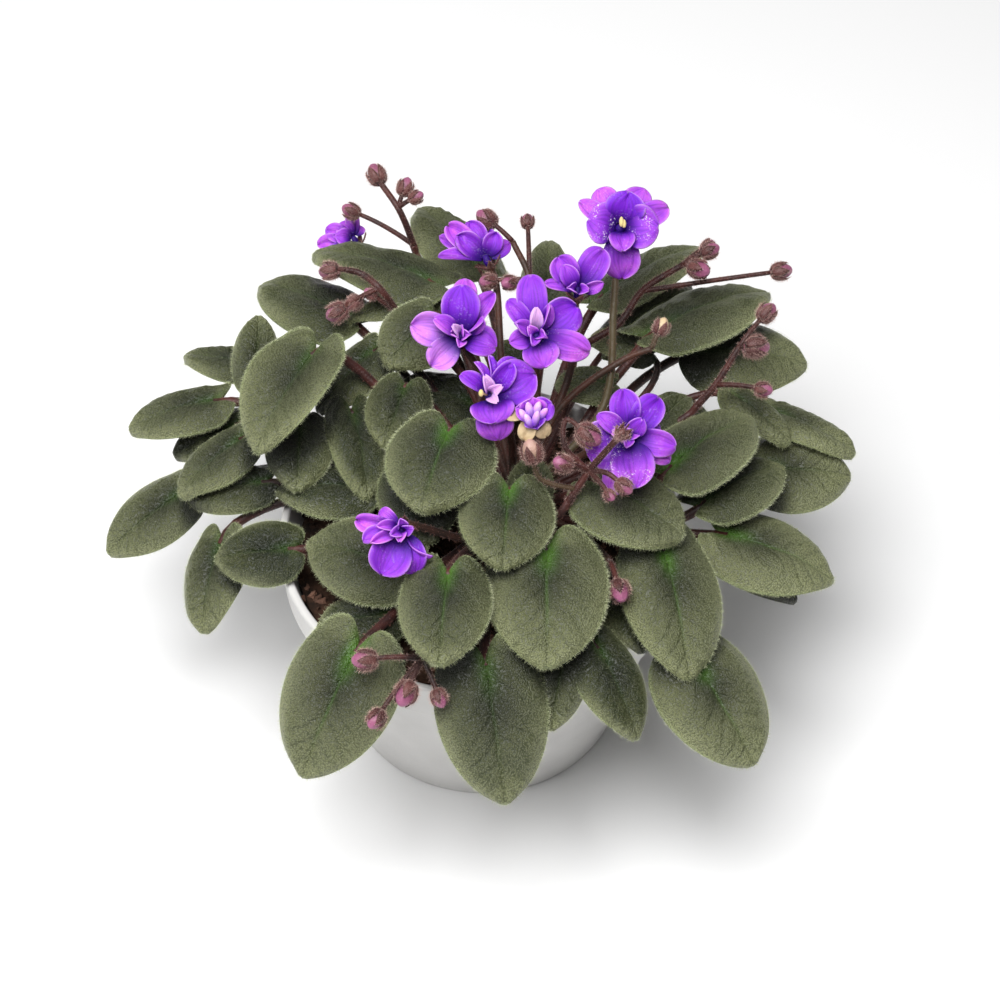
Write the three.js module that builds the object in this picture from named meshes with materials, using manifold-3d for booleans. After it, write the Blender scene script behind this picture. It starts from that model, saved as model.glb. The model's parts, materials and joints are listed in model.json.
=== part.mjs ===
import * as THREE from "three";
import { mergeVertices } from "three/addons/utils/BufferGeometryUtils.js";
import Module from "manifold-3d";

// A compact, double-flowered African violet in a squat round pot.
// Millimetres, +Z up. The origin is the middle of the pot's flat base.

const wasm = await Module();
wasm.setup();

// Pot
const POT_HEIGHT = 64;
const RIM_RADIUS = 52.5;
const COLLAR_FOOT = POT_HEIGHT - 12;
const BODY_TOP_RADIUS = RIM_RADIUS - 3.1;
const BASE_RADIUS = 37;
const WALL = 1.8;
const FLOOR = 2.4;
const POT_SIDES = 24;
const DRAIN_HOLES = 6;
const DRAIN_RADIUS = 3;
const DRAIN_CIRCLE = 24;

// Soil
const SOIL_EDGE_HEIGHT = 58;
const SOIL_DOME = 3;
const SOIL_LUMPS = 1;
const SOIL_SIDES = 24;

// Plant
const GAP = 0.3;
const CROWN_FOOT = new THREE.Vector3(10, 8, 44);
const CROWN_TIP = new THREE.Vector3(9, 5, 76);
const CROWN_RADIUS = 6.5;
const STALK_SIDES = 4;
const PETIOLE_RADIUS = 1.6;
const PETIOLE_REACH = 0.09;
const PETIOLE_DIP = 4;
const PEDUNCLE_RADIUS = 1.15;
const PEDICEL_RADIUS = 0.85;
const CUP_RADIUS = 2.1;
const LEAF_THICKNESS = 1.4;
const LEAF_ROWS = 6;
const LEAF_ARCH = 0.07;
const LEAF_CUP = 0.2;
const LOBE_LIFT = 0.3;
const PETAL_THICKNESS = 0.9;
const CORE_HEIGHT = 0.34;
const CORE_RADIUS = 0.17;

// Colours and finishes
const FINISH = {
  pot: { color: 0xe9e7e3, roughness: 0.45, metalness: 0 },
  soil: { color: 0x3a2a20, roughness: 0.95, metalness: 0 },
  stems: { color: 0x6b2f2c, roughness: 0.7, metalness: 0 },
  leaf: { color: 0x566049, roughness: 0.75, metalness: 0 },
  flower: { color: 0x8438e0, roughness: 0.55, metalness: 0 },
  bud: { color: 0x9c4f75, roughness: 0.7, metalness: 0 },
};

// Leaves: the point where the stalk meets the blade, the tip, the width, and the roll about the midrib.
// A positive cup turns the margins down, a negative one folds the blade up along its midrib.
const LEAVES = [
  // Back
  { base: [-13, 67, 88], tip: [-46, 80, 87], width: 26, roll: 18 },
  { base: [-35, 62, 79], tip: [-61, 80, 75], width: 26, roll: 10 },
  { base: [-1, 79, 81], tip: [-18, 106, 79], width: 22, roll: 15 },
  { base: [31, 67, 82], tip: [60, 87, 82], width: 23, roll: -25 },
  { base: [44, 50, 86], tip: [77, 69, 83], width: 27, roll: -18 },
  { base: [58, 56, 74], tip: [87, 52, 72], width: 27, roll: 4 },
  // Left
  { base: [-60, 41.5, 75.9], tip: [-60, 61, 82], width: 13, roll: 5, rows: 5 },
  { base: [-62, 53, 70], tip: [-81, 61, 66], width: 15, roll: 12, rows: 5 },
  { base: [-70, 40, 71], tip: [-94, 35, 65], width: 19, roll: 5 },
  { base: [-65, 37, 65], tip: [-82, 30, 60], width: 15, roll: -10, rows: 5 },
  { base: [-62, 22, 76], tip: [-78, 8, 69], width: 18, roll: 12 },
  { base: [-43, 35, 95], tip: [-57, 7, 87], width: 24, roll: 10, cup: -0.3, spring: 0 },
  { base: [-28, 48, 82], tip: [-43, 31, 76], width: 18, roll: 10 },
  { base: [-47, 23, 80], tip: [-47, 3, 77], width: 18, roll: 0 },
  { base: [-34, 28, 80], tip: [-29, 0, 77], width: 16, roll: -15, rows: 5 },
  { base: [-20, 32, 85], tip: [-25, 14, 81], width: 17, roll: -5, rows: 5 },
  { base: [-13, 50.5, 92], tip: [-25, 38, 86], width: 20, roll: -10 },
  { base: [-29, 6, 74], tip: [-53, 7, 72], width: 19, roll: 5 },
  { base: [-56, 12, 70], tip: [-76, 9, 66], width: 15, roll: -8, rows: 5 },
  { base: [-78, 17, 61], tip: [-98, 3, 52], width: 19, roll: -8 },
  { base: [-48, -10.5, 70], tip: [-68, -10.5, 66], width: 18, roll: -18 },
  { base: [-67, -1, 62.5], tip: [-71, -25, 54], width: 18, roll: 18 },
  // Front
  { base: [-8, 5, 98], tip: [-15, -18, 93], width: 28, roll: 0 },
  { base: [-17, 1, 87], tip: [-13, -19, 82], width: 21, roll: 0, rows: 5 },
  { base: [-19, -23, 78], tip: [-44, -11, 73], width: 24, roll: -20 },
  { base: [-22, -28.5, 66.5], tip: [-41, -33, 66], width: 16, roll: -8, rows: 5 },
  { base: [-30, -43, 72], tip: [-44, -67, 50], width: 29, roll: -5 },
  { base: [-8, -31, 86], tip: [-10, -57, 82], width: 23, roll: 0 },
  { base: [1, -49, 74.5], tip: [6, -75, 50], width: 28, roll: 4 },
  { base: [21, -42, 71], tip: [17, -60, 60], width: 14, roll: 0, rows: 5 },
  { base: [28, -42, 71], tip: [38, -62, 59], width: 18, roll: -12 },
  { base: [16, -22, 85], tip: [16, -54, 77], width: 31, roll: 0 },
  { base: [7, -10, 93], tip: [5, -32, 88], width: 24, roll: -3 },
  // Right
  { base: [28.5, -4, 88.5], tip: [50, -17, 82], width: 28, roll: -5 },
  { base: [45, -16, 78], tip: [51, -49, 66], width: 26, roll: -8 },
  { base: [51.5, -41, 65], tip: [67, -64, 51], width: 28, roll: 0 },
  { base: [61, -4, 68.5], tip: [90, -13.5, 61], width: 27, roll: -5 },
  { base: [47, 4, 84], tip: [70, 26, 80], width: 25, roll: -5 },
  { base: [56, 1, 74], tip: [78, 18, 70], width: 21, roll: -8, rows: 5 },
  { base: [73, 20.5, 66], tip: [97, 21, 62], width: 24, roll: 15 },
  { base: [76, 37, 70], tip: [98, 25, 66], width: 17, roll: -20, rows: 5 },
];

// Small leaves, mostly hidden, that are grown as one body with the stems.
const SMALL_LEAVES = [
  { base: [34, -21, 67], tip: [40, -40, 65], width: 13, roll: 0, rows: 3 },
  { base: [66, -10, 61], tip: [80.5, -17, 57], width: 9, roll: 0 },
  { base: [34, 58, 74], tip: [57, 79, 76], width: 15, roll: 0 },
  { base: [17, 67, 78], tip: [18, 94, 78], width: 15, roll: 0 },
  { base: [-19, 64, 84], tip: [-36, 58, 82], width: 9, roll: 20, rows: 3 },
  { base: [66, 37, 76], tip: [80, 23, 72], width: 13, roll: -15 },
  { base: [-3, 54, 84], tip: [-13, 64, 84], width: 12, roll: 0, rows: 3 },
  { base: [33.5, 36.5, 81], tip: [19, 35, 82], width: 14, roll: 0, rows: 3 },
  { base: [41, 21, 76], tip: [55, 39, 74], width: 11, roll: 0, rows: 3 },
  { base: [12, -3, 80], tip: [13, 5, 88], width: 12, roll: 0, rows: 3 },
  { base: [44, 51, 78], tip: [28.5, 54.5, 80], width: 12, roll: 0, rows: 3 },
  { base: [56.5, 32, 70], tip: [45.5, 39.5, 72], width: 15, roll: 0, rows: 3 },
  { base: [-1, 36.5, 72], tip: [-22.5, 43, 74], width: 20, roll: 0, rows: 3 },
  { base: [10, 46, 76], tip: [4, 54, 78], width: 14, roll: 0, rows: 3 },
];

// Petals are given as they look to someone who looks down on the plant at this angle.
const VIEW_ANGLE = THREE.MathUtils.degToRad(49);
const VIEW_UP = new THREE.Vector3(0, Math.sin(VIEW_ANGLE), Math.cos(VIEW_ANGLE));
const VIEW_TOWARDS = new THREE.Vector3(0, -Math.cos(VIEW_ANGLE), Math.sin(VIEW_ANGLE));

// Flowers: centre, the way the core faces, its size, and the stalk's points from the crown up. Then each
// petal: how far its tip lies from the centre to the right, up and towards the viewer, its width, its roll.
const FLOWERS = [
  {
    at: [35.6, 60.6, 114], faces: [0.05, -0.65, 0.75], radius: 12.5, stalk: [[31, 25, 84], [34, 46, 101]],
    petals: [
      [2, 9, 4.5, 10, 0],
      [-8, 2, 4.5, 10.5, 0],
      [9.5, 0, 4, 11, 0],
      [0.5, -6, 6, 6.5, 0],
      [-5.5, 10.5, 0, 7, 0],
      [6.5, 10.5, 0, 7.5, 0],
      [-10.5, 7, 1.5, 5, 0],
      [12.5, 5.5, 1, 6.5, 0],
      [0.5, -13, -1, 9.5, 0],
    ],
  },
  {
    at: [1.2, 65.9, 97.5], faces: [-0.4, 0.55, 0.7], radius: 10, stalk: [[5, 40, 86]],
    petals: [
      [-8, 6.5, 2, 6, 0],
      [-10.5, 9.5, -1, 6, 0],
      [-5, 10.5, 0, 6.5, 0],
      [2.5, 7.5, 1.5, 5.5, 0],
      [6, 5, 0, 4.5, 0],
      [-12.5, 2, 2.5, 3.5, 20],
      [-13, 7, -2, 4, 0],
      [-1.5, 9, -3, 6, 0],
    ],
  },
  {
    at: [-5.5, 31.3, 104], faces: [0.1, -0.65, 0.75], radius: 12.5, stalk: [[2, 28, 88]],
    petals: [
      [-12.5, 3, 2, 8.5, 0],
      [-7.5, -7.5, 2, 7.5, 0],
      [9, -2.5, 2.5, 8, -15],
      [8.5, 11.5, 1, 5.5, 0],
      [0.5, 13, 3, 9.5, 0],
      [1.5, 15, 0, 6.5, 0],
      [-6, 4.5, 5.5, 5, 25],
      [6, 4.5, 6, 3, 60],
    ],
  },
  {
    at: [13.7, 27.7, 108], faces: [0.1, -0.65, 0.75], radius: 12.5, stalk: [[14, 22, 90]],
    petals: [
      [-1.5, 15.5, 1, 7.5, 0],
      [10.5, 7.5, 1, 9.5, 0],
      [13.5, -4, 2.5, 7.5, 0],
      [2, -8.2, 3, 9, 0],
      [-6.5, -1.5, 3, 5.5, 0],
      [-7, 9, 2, 5, 0],
      [-5, 3, 6, 4, 20],
      [3.5, 7.5, 5, 3, 60],
      [0, 6.5, 5.5, 3.5, 0],
    ],
  },
  {
    at: [2.2, 7, 108], faces: [0.05, -0.65, 0.75], radius: 12, stalk: [[7, 10, 92]],
    petals: [
      [11, 5.5, 2.5, 11, 0],
      [5.5, 8, 4, 5.5, 0],
      [-7, 5.5, 2.5, 5, 35],
      [-3, 8.5, 3, 3, 55],
      [0.5, 10, 1, 3.5, 45],
      [6.5, 9.5, -1, 6, 0],
      [1, -6.5, 4, 10.5, 0],
      [8, -3.5, 0.5, 6, 0],
      [2, -11, -0.5, 9, 0],
    ],
  },
  {
    at: [12.7, 1.6, 107], faces: [0.05, -0.7, 0.7], radius: 5, stalk: [[13, 7, 92]], halfOpen: true,
    petals: [
      [4.5, 2.5, 3, 6, 0],
      [0, 4, 3, 6.5, 0],
      [-4, 1.5, 3, 5, 0],
      [1, -3.5, 3, 5.5, 0],
    ],
  },
  {
    at: [36.5, 1.5, 99], faces: [0, -0.65, 0.75], radius: 12.5, stalk: [[27, 10, 84]],
    petals: [
      [-1.5, 12, 1, 7.5, 0],
      [7.5, 10, 1, 7.5, 0],
      [11.5, -2.5, 2.5, 6.5, 0],
      [10.5, -6, 0, 5.5, 0],
      [1.5, -12.5, 4.5, 10.5, 0],
      [-10.5, -3.5, 1.5, 12, 0],
      [-4.5, -14.5, 1, 7, 0],
      [-7.5, 5.5, 3, 5, 0],
      [3, 4, 6, 5, 10],
    ],
  },
  {
    at: [-19.2, -23.6, 93], faces: [-0.2, -0.8, 0.5], radius: 9, stalk: [[0, -14, 78]],
    petals: [
      [-5, -11, 2, 10, 0],
      [3, -10.5, 1, 8, 0],
      [7, -7, 2, 3, 70],
      [-11.5, 2.5, -1, 5, 0],
      [-9.5, -2.5, 2.5, 4.5, 30],
      [-7.5, -3, 5, 3, 0],
      [-6, 1, 4.5, 3, 20],
      [-5.5, 5, -1, 4, 0],
    ],
  },
  {
    at: [-35.3, 92.2, 80], faces: [-0.5, 0.3, 0.8], radius: 8, stalk: [[-10, 60, 74]],
    petals: [
      [-10.5, -1, 0, 4.5, 0],
      [-8, 3, 1, 5.5, 0],
      [-4, 4.5, 1.5, 5.5, 0],
      [-1, 7.5, 0.5, 4, 0],
      [1.5, 4, 0, 4, 0],
      [-9, -5.5, 0, 4.5, 0],
    ],
  },
  {
    at: [24.4, 43, 108.5], faces: [0.1, 0.5, 0.85], radius: 9, stalk: [[23, 34, 90]],
    petals: [
      [-5, 9, 1, 7, 0],
      [6.5, 11, 1.5, 7.5, 0],
      [-8.5, 2, 2, 3.5, 30],
      [6.5, 2, 3, 3.5, 20],
      [1.5, 7, -2, 6, 0],
    ],
  },
];

// Bud sprays: the main stalk's points, and each bud with the stalk point that it grows from, its place
// and its length. A bud's own stalk arches up a little, or runs through the points that are given.
const SPRAYS = [
  {
    stalk: [[-19, 86, 84], [-21, 88, 90], [-23, 90, 94], [-28, 97, 97]],
    buds: [
      { from: 3, at: [-29, 99, 98], size: 6.5 },
      { from: 2, at: [-21, 94, 98], size: 5.5 },
      { from: 2, at: [-18, 91, 97], size: 4.5 },
      { from: 0, at: [-36, 93, 90], size: 5.5 },
    ],
  },
  {
    stalk: [[-22, 56, 87], [-27, 58, 95], [-32, 62.5, 96], [-36, 63, 97]],
    buds: [
      { from: 3, at: [-40.5, 64, 95.5], size: 6 },
      { from: 1, at: [-38.5, 56, 88], size: 6.5 },
      { from: 1, at: [-34, 57.5, 90], size: 5 },
      { from: 0, at: [-29.5, 58.5, 92.5], size: 4 },
    ],
  },
  {
    stalk: [[28, 49, 84], [36, 52, 88], [42, 59, 93], [53, 65, 97]],
    buds: [
      { from: 3, at: [60, 67, 100], size: 5.5 },
      { from: 3, at: [57, 62, 98], size: 6.5 },
      { from: 3, at: [60, 72, 97], size: 4.5 },
      { from: 2, at: [79, 64.5, 95], size: 6, through: [[61, 62, 94]] },
    ],
  },
  {
    stalk: [[56, 30, 80], [60.5, 32.5, 85], [66.5, 38.5, 93]],
    buds: [
      { from: 2, at: [74, 47, 97], size: 6 },
      { from: 2, at: [71, 39.5, 92], size: 7.5 },
      { from: 1, at: [72.5, 28, 88], size: 5 },
    ],
  },
  {
    stalk: [[21.5, -12, 90], [23.5, -10.5, 93], [26.5, -8, 97], [33.5, -6, 107]],
    buds: [
      { from: 3, at: [34.5, -6, 109], size: 6 },
      { from: 2, at: [26.5, -3, 104.5], size: 7, through: [[20.5, -4, 102], [21, 0.5, 106.5]] },
      { from: 2, at: [20, -9, 101], size: 5.5 },
      { from: 2, at: [35, -14, 98], size: 5, through: [[31, -10.5, 99]] },
      { from: 2, at: [31.5, -16, 97], size: 3.5 },
      { from: 1, at: [12.5, -6, 102], size: 6.5, through: [[14.5, -9.5, 96]] },
    ],
  },
  {
    stalk: [[-11, -44, 73], [-14, -50, 76]],
    buds: [
      { from: 1, at: [-28, -52, 78], size: 6.5 },
      { from: 1, at: [-18, -60, 75], size: 7 },
      { from: 1, at: [-25, -66, 73], size: 5.5 },
      { from: 1, at: [-10, -59, 72], size: 5 },
    ],
  },
];

// Stalks of the sprays, from the crown to the first point of each spray above.
const SPRAY_STALKS = [
  [[-6, 60, 76]],
  [[-6, 44, 78]],
  [[22, 32, 78]],
  [[36, 20, 74]],
  [[18, -9, 81]],
  [[-3, -24, 70]],
];

// Bud stalks that are grown as one body with the stems.
const STEM_SPRAYS = [
  {
    stalk: [[12, 40, 84], [12.5, 62, 94], [8, 70.5, 100]],
    buds: [
      { from: 2, at: [1, 76, 103], size: 6.5 },
      { from: 1, at: [12, 79.5, 99], size: 4.5 },
      { from: 1, at: [1.5, 59.5, 96], size: 5 },
      { from: 1, at: [7, 58, 97], size: 5 },
    ],
  },
  { stalk: [[20, 25, 84], [36.5, 33, 94], [43.5, 34, 97]], buds: [{ from: 2, at: [46, 38, 101], size: 5 }] },
  { stalk: [[26, -10, 74], [32, -22, 79]], buds: [{ from: 1, at: [34, -31.5, 79], size: 6.5 }] },
];

// Small helpers
const SLIVER = 0.05;
const point = (list) => new THREE.Vector3(...list);

function randomFrom(seed) {
  let state = seed * 7919 + 17;
  return () => {
    state = (state * 16807) % 2147483647;
    return state / 2147483647;
  };
}

// A closed geometry as a solid, with its shared vertices merged.
function solidOf(geometry) {
  const bare = geometry.clone();
  bare.deleteAttribute("normal");
  bare.deleteAttribute("uv");
  const merged = mergeVertices(bare, 1e-4);
  const triVerts = new Uint32Array(merged.index.array);
  const vertProperties = new Float32Array(merged.attributes.position.array);
  return new wasm.Manifold(new wasm.Mesh({ numProp: 3, vertProperties, triVerts }));
}

function geometryOf(solid) {
  const mesh = solid.getMesh();
  const geometry = new THREE.BufferGeometry();
  geometry.setAttribute("position", new THREE.BufferAttribute(mesh.vertProperties, 3));
  geometry.setIndex(new THREE.BufferAttribute(mesh.triVerts, 1));
  geometry.computeVertexNormals();
  return geometry;
}

function fuse(geometries) {
  const solids = geometries.map(solidOf);
  return geometryOf(solids.reduce((whole, next) => whole.add(next)).simplify(SLIVER));
}

function closedGeometry(points, triangles) {
  const geometry = new THREE.BufferGeometry();
  geometry.setFromPoints(points);
  geometry.setIndex(triangles.flat());
  return geometry;
}

// A thin blade over a grid of points. Its two faces share the outline and are split alike,
// and inside the outline they stand half a thickness above and below the grid.
function bladeGeometry(grid, normal, thickness) {
  const points = [];
  const upper = [];
  const lower = [];
  const middle = (grid[0].length - 1) / 2;
  grid.forEach((row, i) => {
    upper.push([]);
    lower.push([]);
    row.forEach((place, j) => {
      const merged = j > 0 && place.distanceTo(row[j - 1]) < 1e-6;
      if (merged) {
        upper[i].push(upper[i][j - 1]);
        lower[i].push(lower[i][j - 1]);
        return;
      }
      const edge = i === 0 || i === grid.length - 1 || j === 0 || j === row.length - 1;
      if (edge) {
        points.push(place.clone());
        upper[i].push(points.length - 1);
        lower[i].push(points.length - 1);
        return;
      }
      const half = normal.clone().multiplyScalar(thickness / 2);
      points.push(place.clone().add(half), place.clone().sub(half));
      upper[i].push(points.length - 2);
      lower[i].push(points.length - 1);
    });
  });
  const triangles = [];
  const addFace = (a, b, c) => {
    if (a !== b && b !== c && a !== c) triangles.push([a, b, c]);
  };
  for (let i = 0; i + 1 < grid.length; i += 1) {
    for (let j = 0; j + 1 < grid[i].length; j += 1) {
      for (const [side, flip] of [[upper, false], [lower, true]]) {
        const a = side[i][j];
        const b = side[i][j + 1];
        const c = side[i + 1][j + 1];
        const d = side[i + 1][j];
        const halves = j < middle ? [[a, d, c], [a, c, b]] : [[a, d, b], [b, d, c]];
        for (const [p, q, r] of halves) {
          if (flip) addFace(p, r, q);
          else addFace(p, q, r);
        }
      }
    }
  }
  return closedGeometry(points, triangles);
}

// The frame of a leaf: along the midrib, across the blade, and out of its upper face.
function leafFrame(leaf) {
  const base = point(leaf.base);
  const along = point(leaf.tip).sub(base);
  const length = along.length();
  along.normalize();
  const across = new THREE.Vector3(0, 0, 1).cross(along).normalize();
  across.applyAxisAngle(along, THREE.MathUtils.degToRad(leaf.roll));
  const out = along.clone().cross(across);
  return { base, along, across, out, length };
}

// Half of the heart-shaped outline, from the stalk round the lobe and on to the tip.
function leafOutline(length, width) {
  const half = width / 2;
  const lobe = new THREE.CubicBezierCurve(
    new THREE.Vector2(0, 0),
    new THREE.Vector2(-0.3 * length, 0.03 * half),
    new THREE.Vector2(-0.23 * length, 0.95 * half),
    new THREE.Vector2(0.3 * length, half),
  );
  const side = new THREE.CubicBezierCurve(
    new THREE.Vector2(0.3 * length, half),
    new THREE.Vector2(0.66 * length, half),
    new THREE.Vector2(0.93 * length, 0.5 * half),
    new THREE.Vector2(length, 0),
  );
  return (u) => (u < 0.5 ? lobe.getPoint(2 * u) : side.getPoint(2 * u - 1));
}

// How far the midrib stands above the straight line from the base to the tip.
function ribRise(leaf, length, x) {
  return 4 * (leaf.arch ?? LEAF_ARCH) * x * (1 - x / length);
}

function leafGeometry(leaf) {
  const { base, along, across, out, length } = leafFrame(leaf);
  const { width, cup = LEAF_CUP, rows = LEAF_ROWS } = leaf;
  const outline = leafOutline(length, width);
  const grid = [];
  for (let i = 0; i <= rows; i += 1) {
    const u = i / rows;
    const edge = outline(u);
    const rib = length * u ** 1.15;
    const row = [-1, -0.5, 0, 0.5, 1].map((v) => {
      const x = THREE.MathUtils.lerp(rib, edge.x, Math.abs(v));
      const y = edge.y * v;
      const rise = x < 0 ? -LOBE_LIFT * x : ribRise(leaf, length, x);
      const fall = cup * (y / (width / 2)) ** 2 * (width / 2);
      return base.clone()
        .addScaledVector(along, x)
        .addScaledVector(across, y)
        .addScaledVector(out, rise - fall);
    });
    grid.push(row);
  }
  return bladeGeometry(grid, out, LEAF_THICKNESS);
}

// A closed tube of few sides along a curve, with a radius that changes on the way.
function tubeGeometry(curve, radiusAt, steps) {
  const frames = curve.computeFrenetFrames(steps, false);
  const points = [];
  const triangles = [];
  for (let i = 0; i <= steps; i += 1) {
    const centre = curve.getPointAt(i / steps);
    const radius = radiusAt(i / steps);
    for (let k = 0; k < STALK_SIDES; k += 1) {
      const turn = (2 * Math.PI * k) / STALK_SIDES;
      points.push(centre.clone()
        .addScaledVector(frames.normals[i], radius * Math.cos(turn))
        .addScaledVector(frames.binormals[i], radius * Math.sin(turn)));
    }
  }
  const ring = (i, k) => i * STALK_SIDES + (k % STALK_SIDES);
  for (let i = 0; i < steps; i += 1) {
    for (let k = 0; k < STALK_SIDES; k += 1) {
      triangles.push([ring(i, k), ring(i, k + 1), ring(i + 1, k)]);
      triangles.push([ring(i, k + 1), ring(i + 1, k + 1), ring(i + 1, k)]);
    }
  }
  for (let k = 1; k + 1 < STALK_SIDES; k += 1) {
    triangles.push([ring(0, 0), ring(0, k + 1), ring(0, k)]);
    triangles.push([ring(steps, 0), ring(steps, k), ring(steps, k + 1)]);
  }
  return closedGeometry(points, triangles);
}

function taper(from, to) {
  return (t) => THREE.MathUtils.lerp(from, to, t);
}

// A point inside the crown, at a height, on the side that faces a place.
function crownPoint(height, towards) {
  const share = (height - CROWN_FOOT.z) / (CROWN_TIP.z - CROWN_FOOT.z);
  const axis = CROWN_FOOT.clone().lerp(CROWN_TIP, share);
  const outward = new THREE.Vector3(towards.x - axis.x, towards.y - axis.y, 0).normalize();
  return axis.addScaledVector(outward, CROWN_RADIUS * 0.4);
}

// A leaf stalk rises out of the crown and runs in under the blade to just short of it.
function petioleGeometry(leaf, reachIn) {
  const { base, along, out, length } = leafFrame(leaf);
  const reach = Math.hypot(base.x - CROWN_TIP.x, base.y - CROWN_TIP.y);
  const height = THREE.MathUtils.clamp(76 - reach * 0.2, 63, 74);
  const start = crownPoint(height, base);
  const reachUnder = PETIOLE_REACH * length;
  const under = LEAF_THICKNESS / 2 + GAP + PETIOLE_RADIUS - ribRise(leaf, length, reachUnder);
  const end = base.clone().addScaledVector(along, reachUnder).addScaledVector(out, reachIn ? 0 : -under);
  const span = start.distanceTo(end);
  const outward = new THREE.Vector3(end.x - start.x, end.y - start.y, 0).normalize();
  const first = start.clone().addScaledVector(outward, span * 0.35);
  first.z += span * (leaf.spring ?? 0.08);
  const second = end.clone().addScaledVector(along, -span * 0.3).addScaledVector(out, -PETIOLE_DIP);
  second.z = Math.min(second.z, end.z + 2);
  const curve = new THREE.CubicBezierCurve3(start, first, second, end);
  while (rimClearance(curve) < PETIOLE_RADIUS + 2 * GAP) {
    first.z += 1;
    second.z += 0.5;
  }
  const thick = taper(PETIOLE_RADIUS * 0.7, PETIOLE_RADIUS * (reachIn ? 0.7 : 0.95));
  return tubeGeometry(curve, thick, span > 45 ? 4 : 3);
}

// How high a stalk passes over the pot's rim, or a large number where it doesn't reach the rim.
function rimClearance(curve) {
  const near = curve.getPoints(40).filter((place) => {
    const reach = Math.hypot(place.x, place.y);
    return reach > RIM_RADIUS - 2 * WALL - PETIOLE_RADIUS && reach < RIM_RADIUS + PETIOLE_RADIUS;
  });
  return Math.min(POT_HEIGHT, ...near.map((place) => place.z - POT_HEIGHT));
}

// The last two points of a stalk that runs straight on to just short of what it carries.
function landing(end, direction) {
  return [3, 0].map((run) => end.clone().addScaledVector(direction, -run - 1.5 * GAP));
}

// A stalk through its points from the crown. Where it carries a flower it widens into a small cup.
function stalkGeometry(places, radius, cupped) {
  const curve = new THREE.CatmullRomCurve3(places);
  const thick = taper(radius, radius * 0.75);
  const radiusAt = (t) => (cupped && t === 1 ? CUP_RADIUS : thick(t));
  return tubeGeometry(curve, radiusAt, places.length + 1);
}

function budGeometry(at, direction, size) {
  const profile = [[0, 0], [0.3, 0.16], [0.33, 0.64], [0, 1]];
  const outline = profile.map(([x, y]) => new THREE.Vector2(x * size, (y - 0.5) * size));
  const bud = new THREE.LatheGeometry(outline, 5);
  bud.applyQuaternion(new THREE.Quaternion().setFromUnitVectors(new THREE.Vector3(0, 1, 0), direction));
  bud.translate(at.x, at.y, at.z);
  return bud;
}

// A bud on its own thin stalk, from a point on the main stalk.
function budOnStalk(from, bud) {
  const at = point(bud.at);
  const through = (bud.through ?? []).map(point);
  const direction = at.clone().sub(through[through.length - 1] ?? from).normalize();
  const bend = from.clone().lerp(at, 0.5);
  bend.z += 0.12 * from.distanceTo(at);
  const curve = through.length > 0
    ? new THREE.CatmullRomCurve3([from, ...through, at])
    : new THREE.QuadraticBezierCurve3(from, bend, at);
  const stalk = tubeGeometry(curve, taper(PEDICEL_RADIUS, PEDICEL_RADIUS * 0.8), 2 + through.length);
  return [stalk, budGeometry(at, direction, bud.size)];
}

function sprayGeometry(spray) {
  const places = spray.stalk.map(point);
  const pieces = [stalkGeometry(places, PEDUNCLE_RADIUS, false)];
  spray.buds.forEach((bud) => pieces.push(...budOnStalk(places[bud.from], bud)));
  return fuse(pieces);
}

// Petals are drawn by rows from the foot to the rounded end: how far along the petal the middle and
// the sides lie, and the half width, as shares of the length and the width.
const BROAD_PETAL = [
  { middle: 0, side: 0, half: 0.25 },
  { middle: 0.34, side: 0.3, half: 0.92 },
  { middle: 0.72, side: 0.66, half: 1.06 },
  { middle: 1, side: 0.94, half: 0.54 },
];
const NARROW_PETAL = [
  { middle: 0, side: 0, half: 0.16 },
  { middle: 0.6, side: 0.57, half: 1 },
  { middle: 1, side: 0.94, half: 0.45 },
];
const BROAD_FROM = 6;
const PETAL_FOOT = 1.2;
const PETAL_HOLLOW = 0.12;
const PETAL_CROWN = 0.1;

// One petal: a rounded blade on a narrow foot, hollowed a little across and arched along, with its
// foot in the middle of the flower and its face to the viewer.
function petalGeometry([right, up, towards, width, roll]) {
  const tip = new THREE.Vector3(right, 0, 0)
    .addScaledVector(VIEW_UP, up)
    .addScaledVector(VIEW_TOWARDS, towards);
  const length = tip.length() - PETAL_FOOT;
  const along = tip.normalize();
  const across = VIEW_TOWARDS.clone().cross(along).normalize();
  across.applyAxisAngle(along, THREE.MathUtils.degToRad(roll));
  const rows = width < BROAD_FROM ? NARROW_PETAL : BROAD_PETAL;
  const grid = rows.map(({ middle, side, half }) => [-1, 0, 1].map((v) => new THREE.Vector3(
    length * (v === 0 ? middle : side),
    (v * half * width) / 2,
    PETAL_HOLLOW * Math.abs(v) * half * width + PETAL_CROWN * length * Math.sin(Math.PI * middle),
  )));
  const petal = bladeGeometry(grid, new THREE.Vector3(0, 0, 1), PETAL_THICKNESS);
  petal.translate(PETAL_FOOT, 0, 0);
  petal.applyMatrix4(new THREE.Matrix4().makeBasis(along, across, along.clone().cross(across)));
  return petal;
}

// A double flower: petals in layers round a small core that holds their feet. A half-open one has the
// closed inner petals in its middle.
function flowerGeometry(flower) {
  const r = flower.radius;
  const up = new THREE.Vector3(0, 0, 1);
  const facing = new THREE.Quaternion().setFromUnitVectors(up, point(flower.faces).normalize());
  const core = new THREE.CylinderGeometry(CORE_RADIUS * r, 0.8 * CORE_RADIUS * r, CORE_HEIGHT * r, 6);
  core.rotateX(Math.PI / 2);
  core.applyQuaternion(facing);
  const pieces = [core, ...flower.petals.map(petalGeometry)];
  if (flower.halfOpen) {
    const closed = budGeometry(new THREE.Vector3(0, 0, 0.5 * r), up, 1.4 * r);
    closed.applyQuaternion(facing);
    pieces.push(closed);
  }
  const whole = fuse(pieces);
  whole.translate(...flower.at);
  return whole;
}

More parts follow.
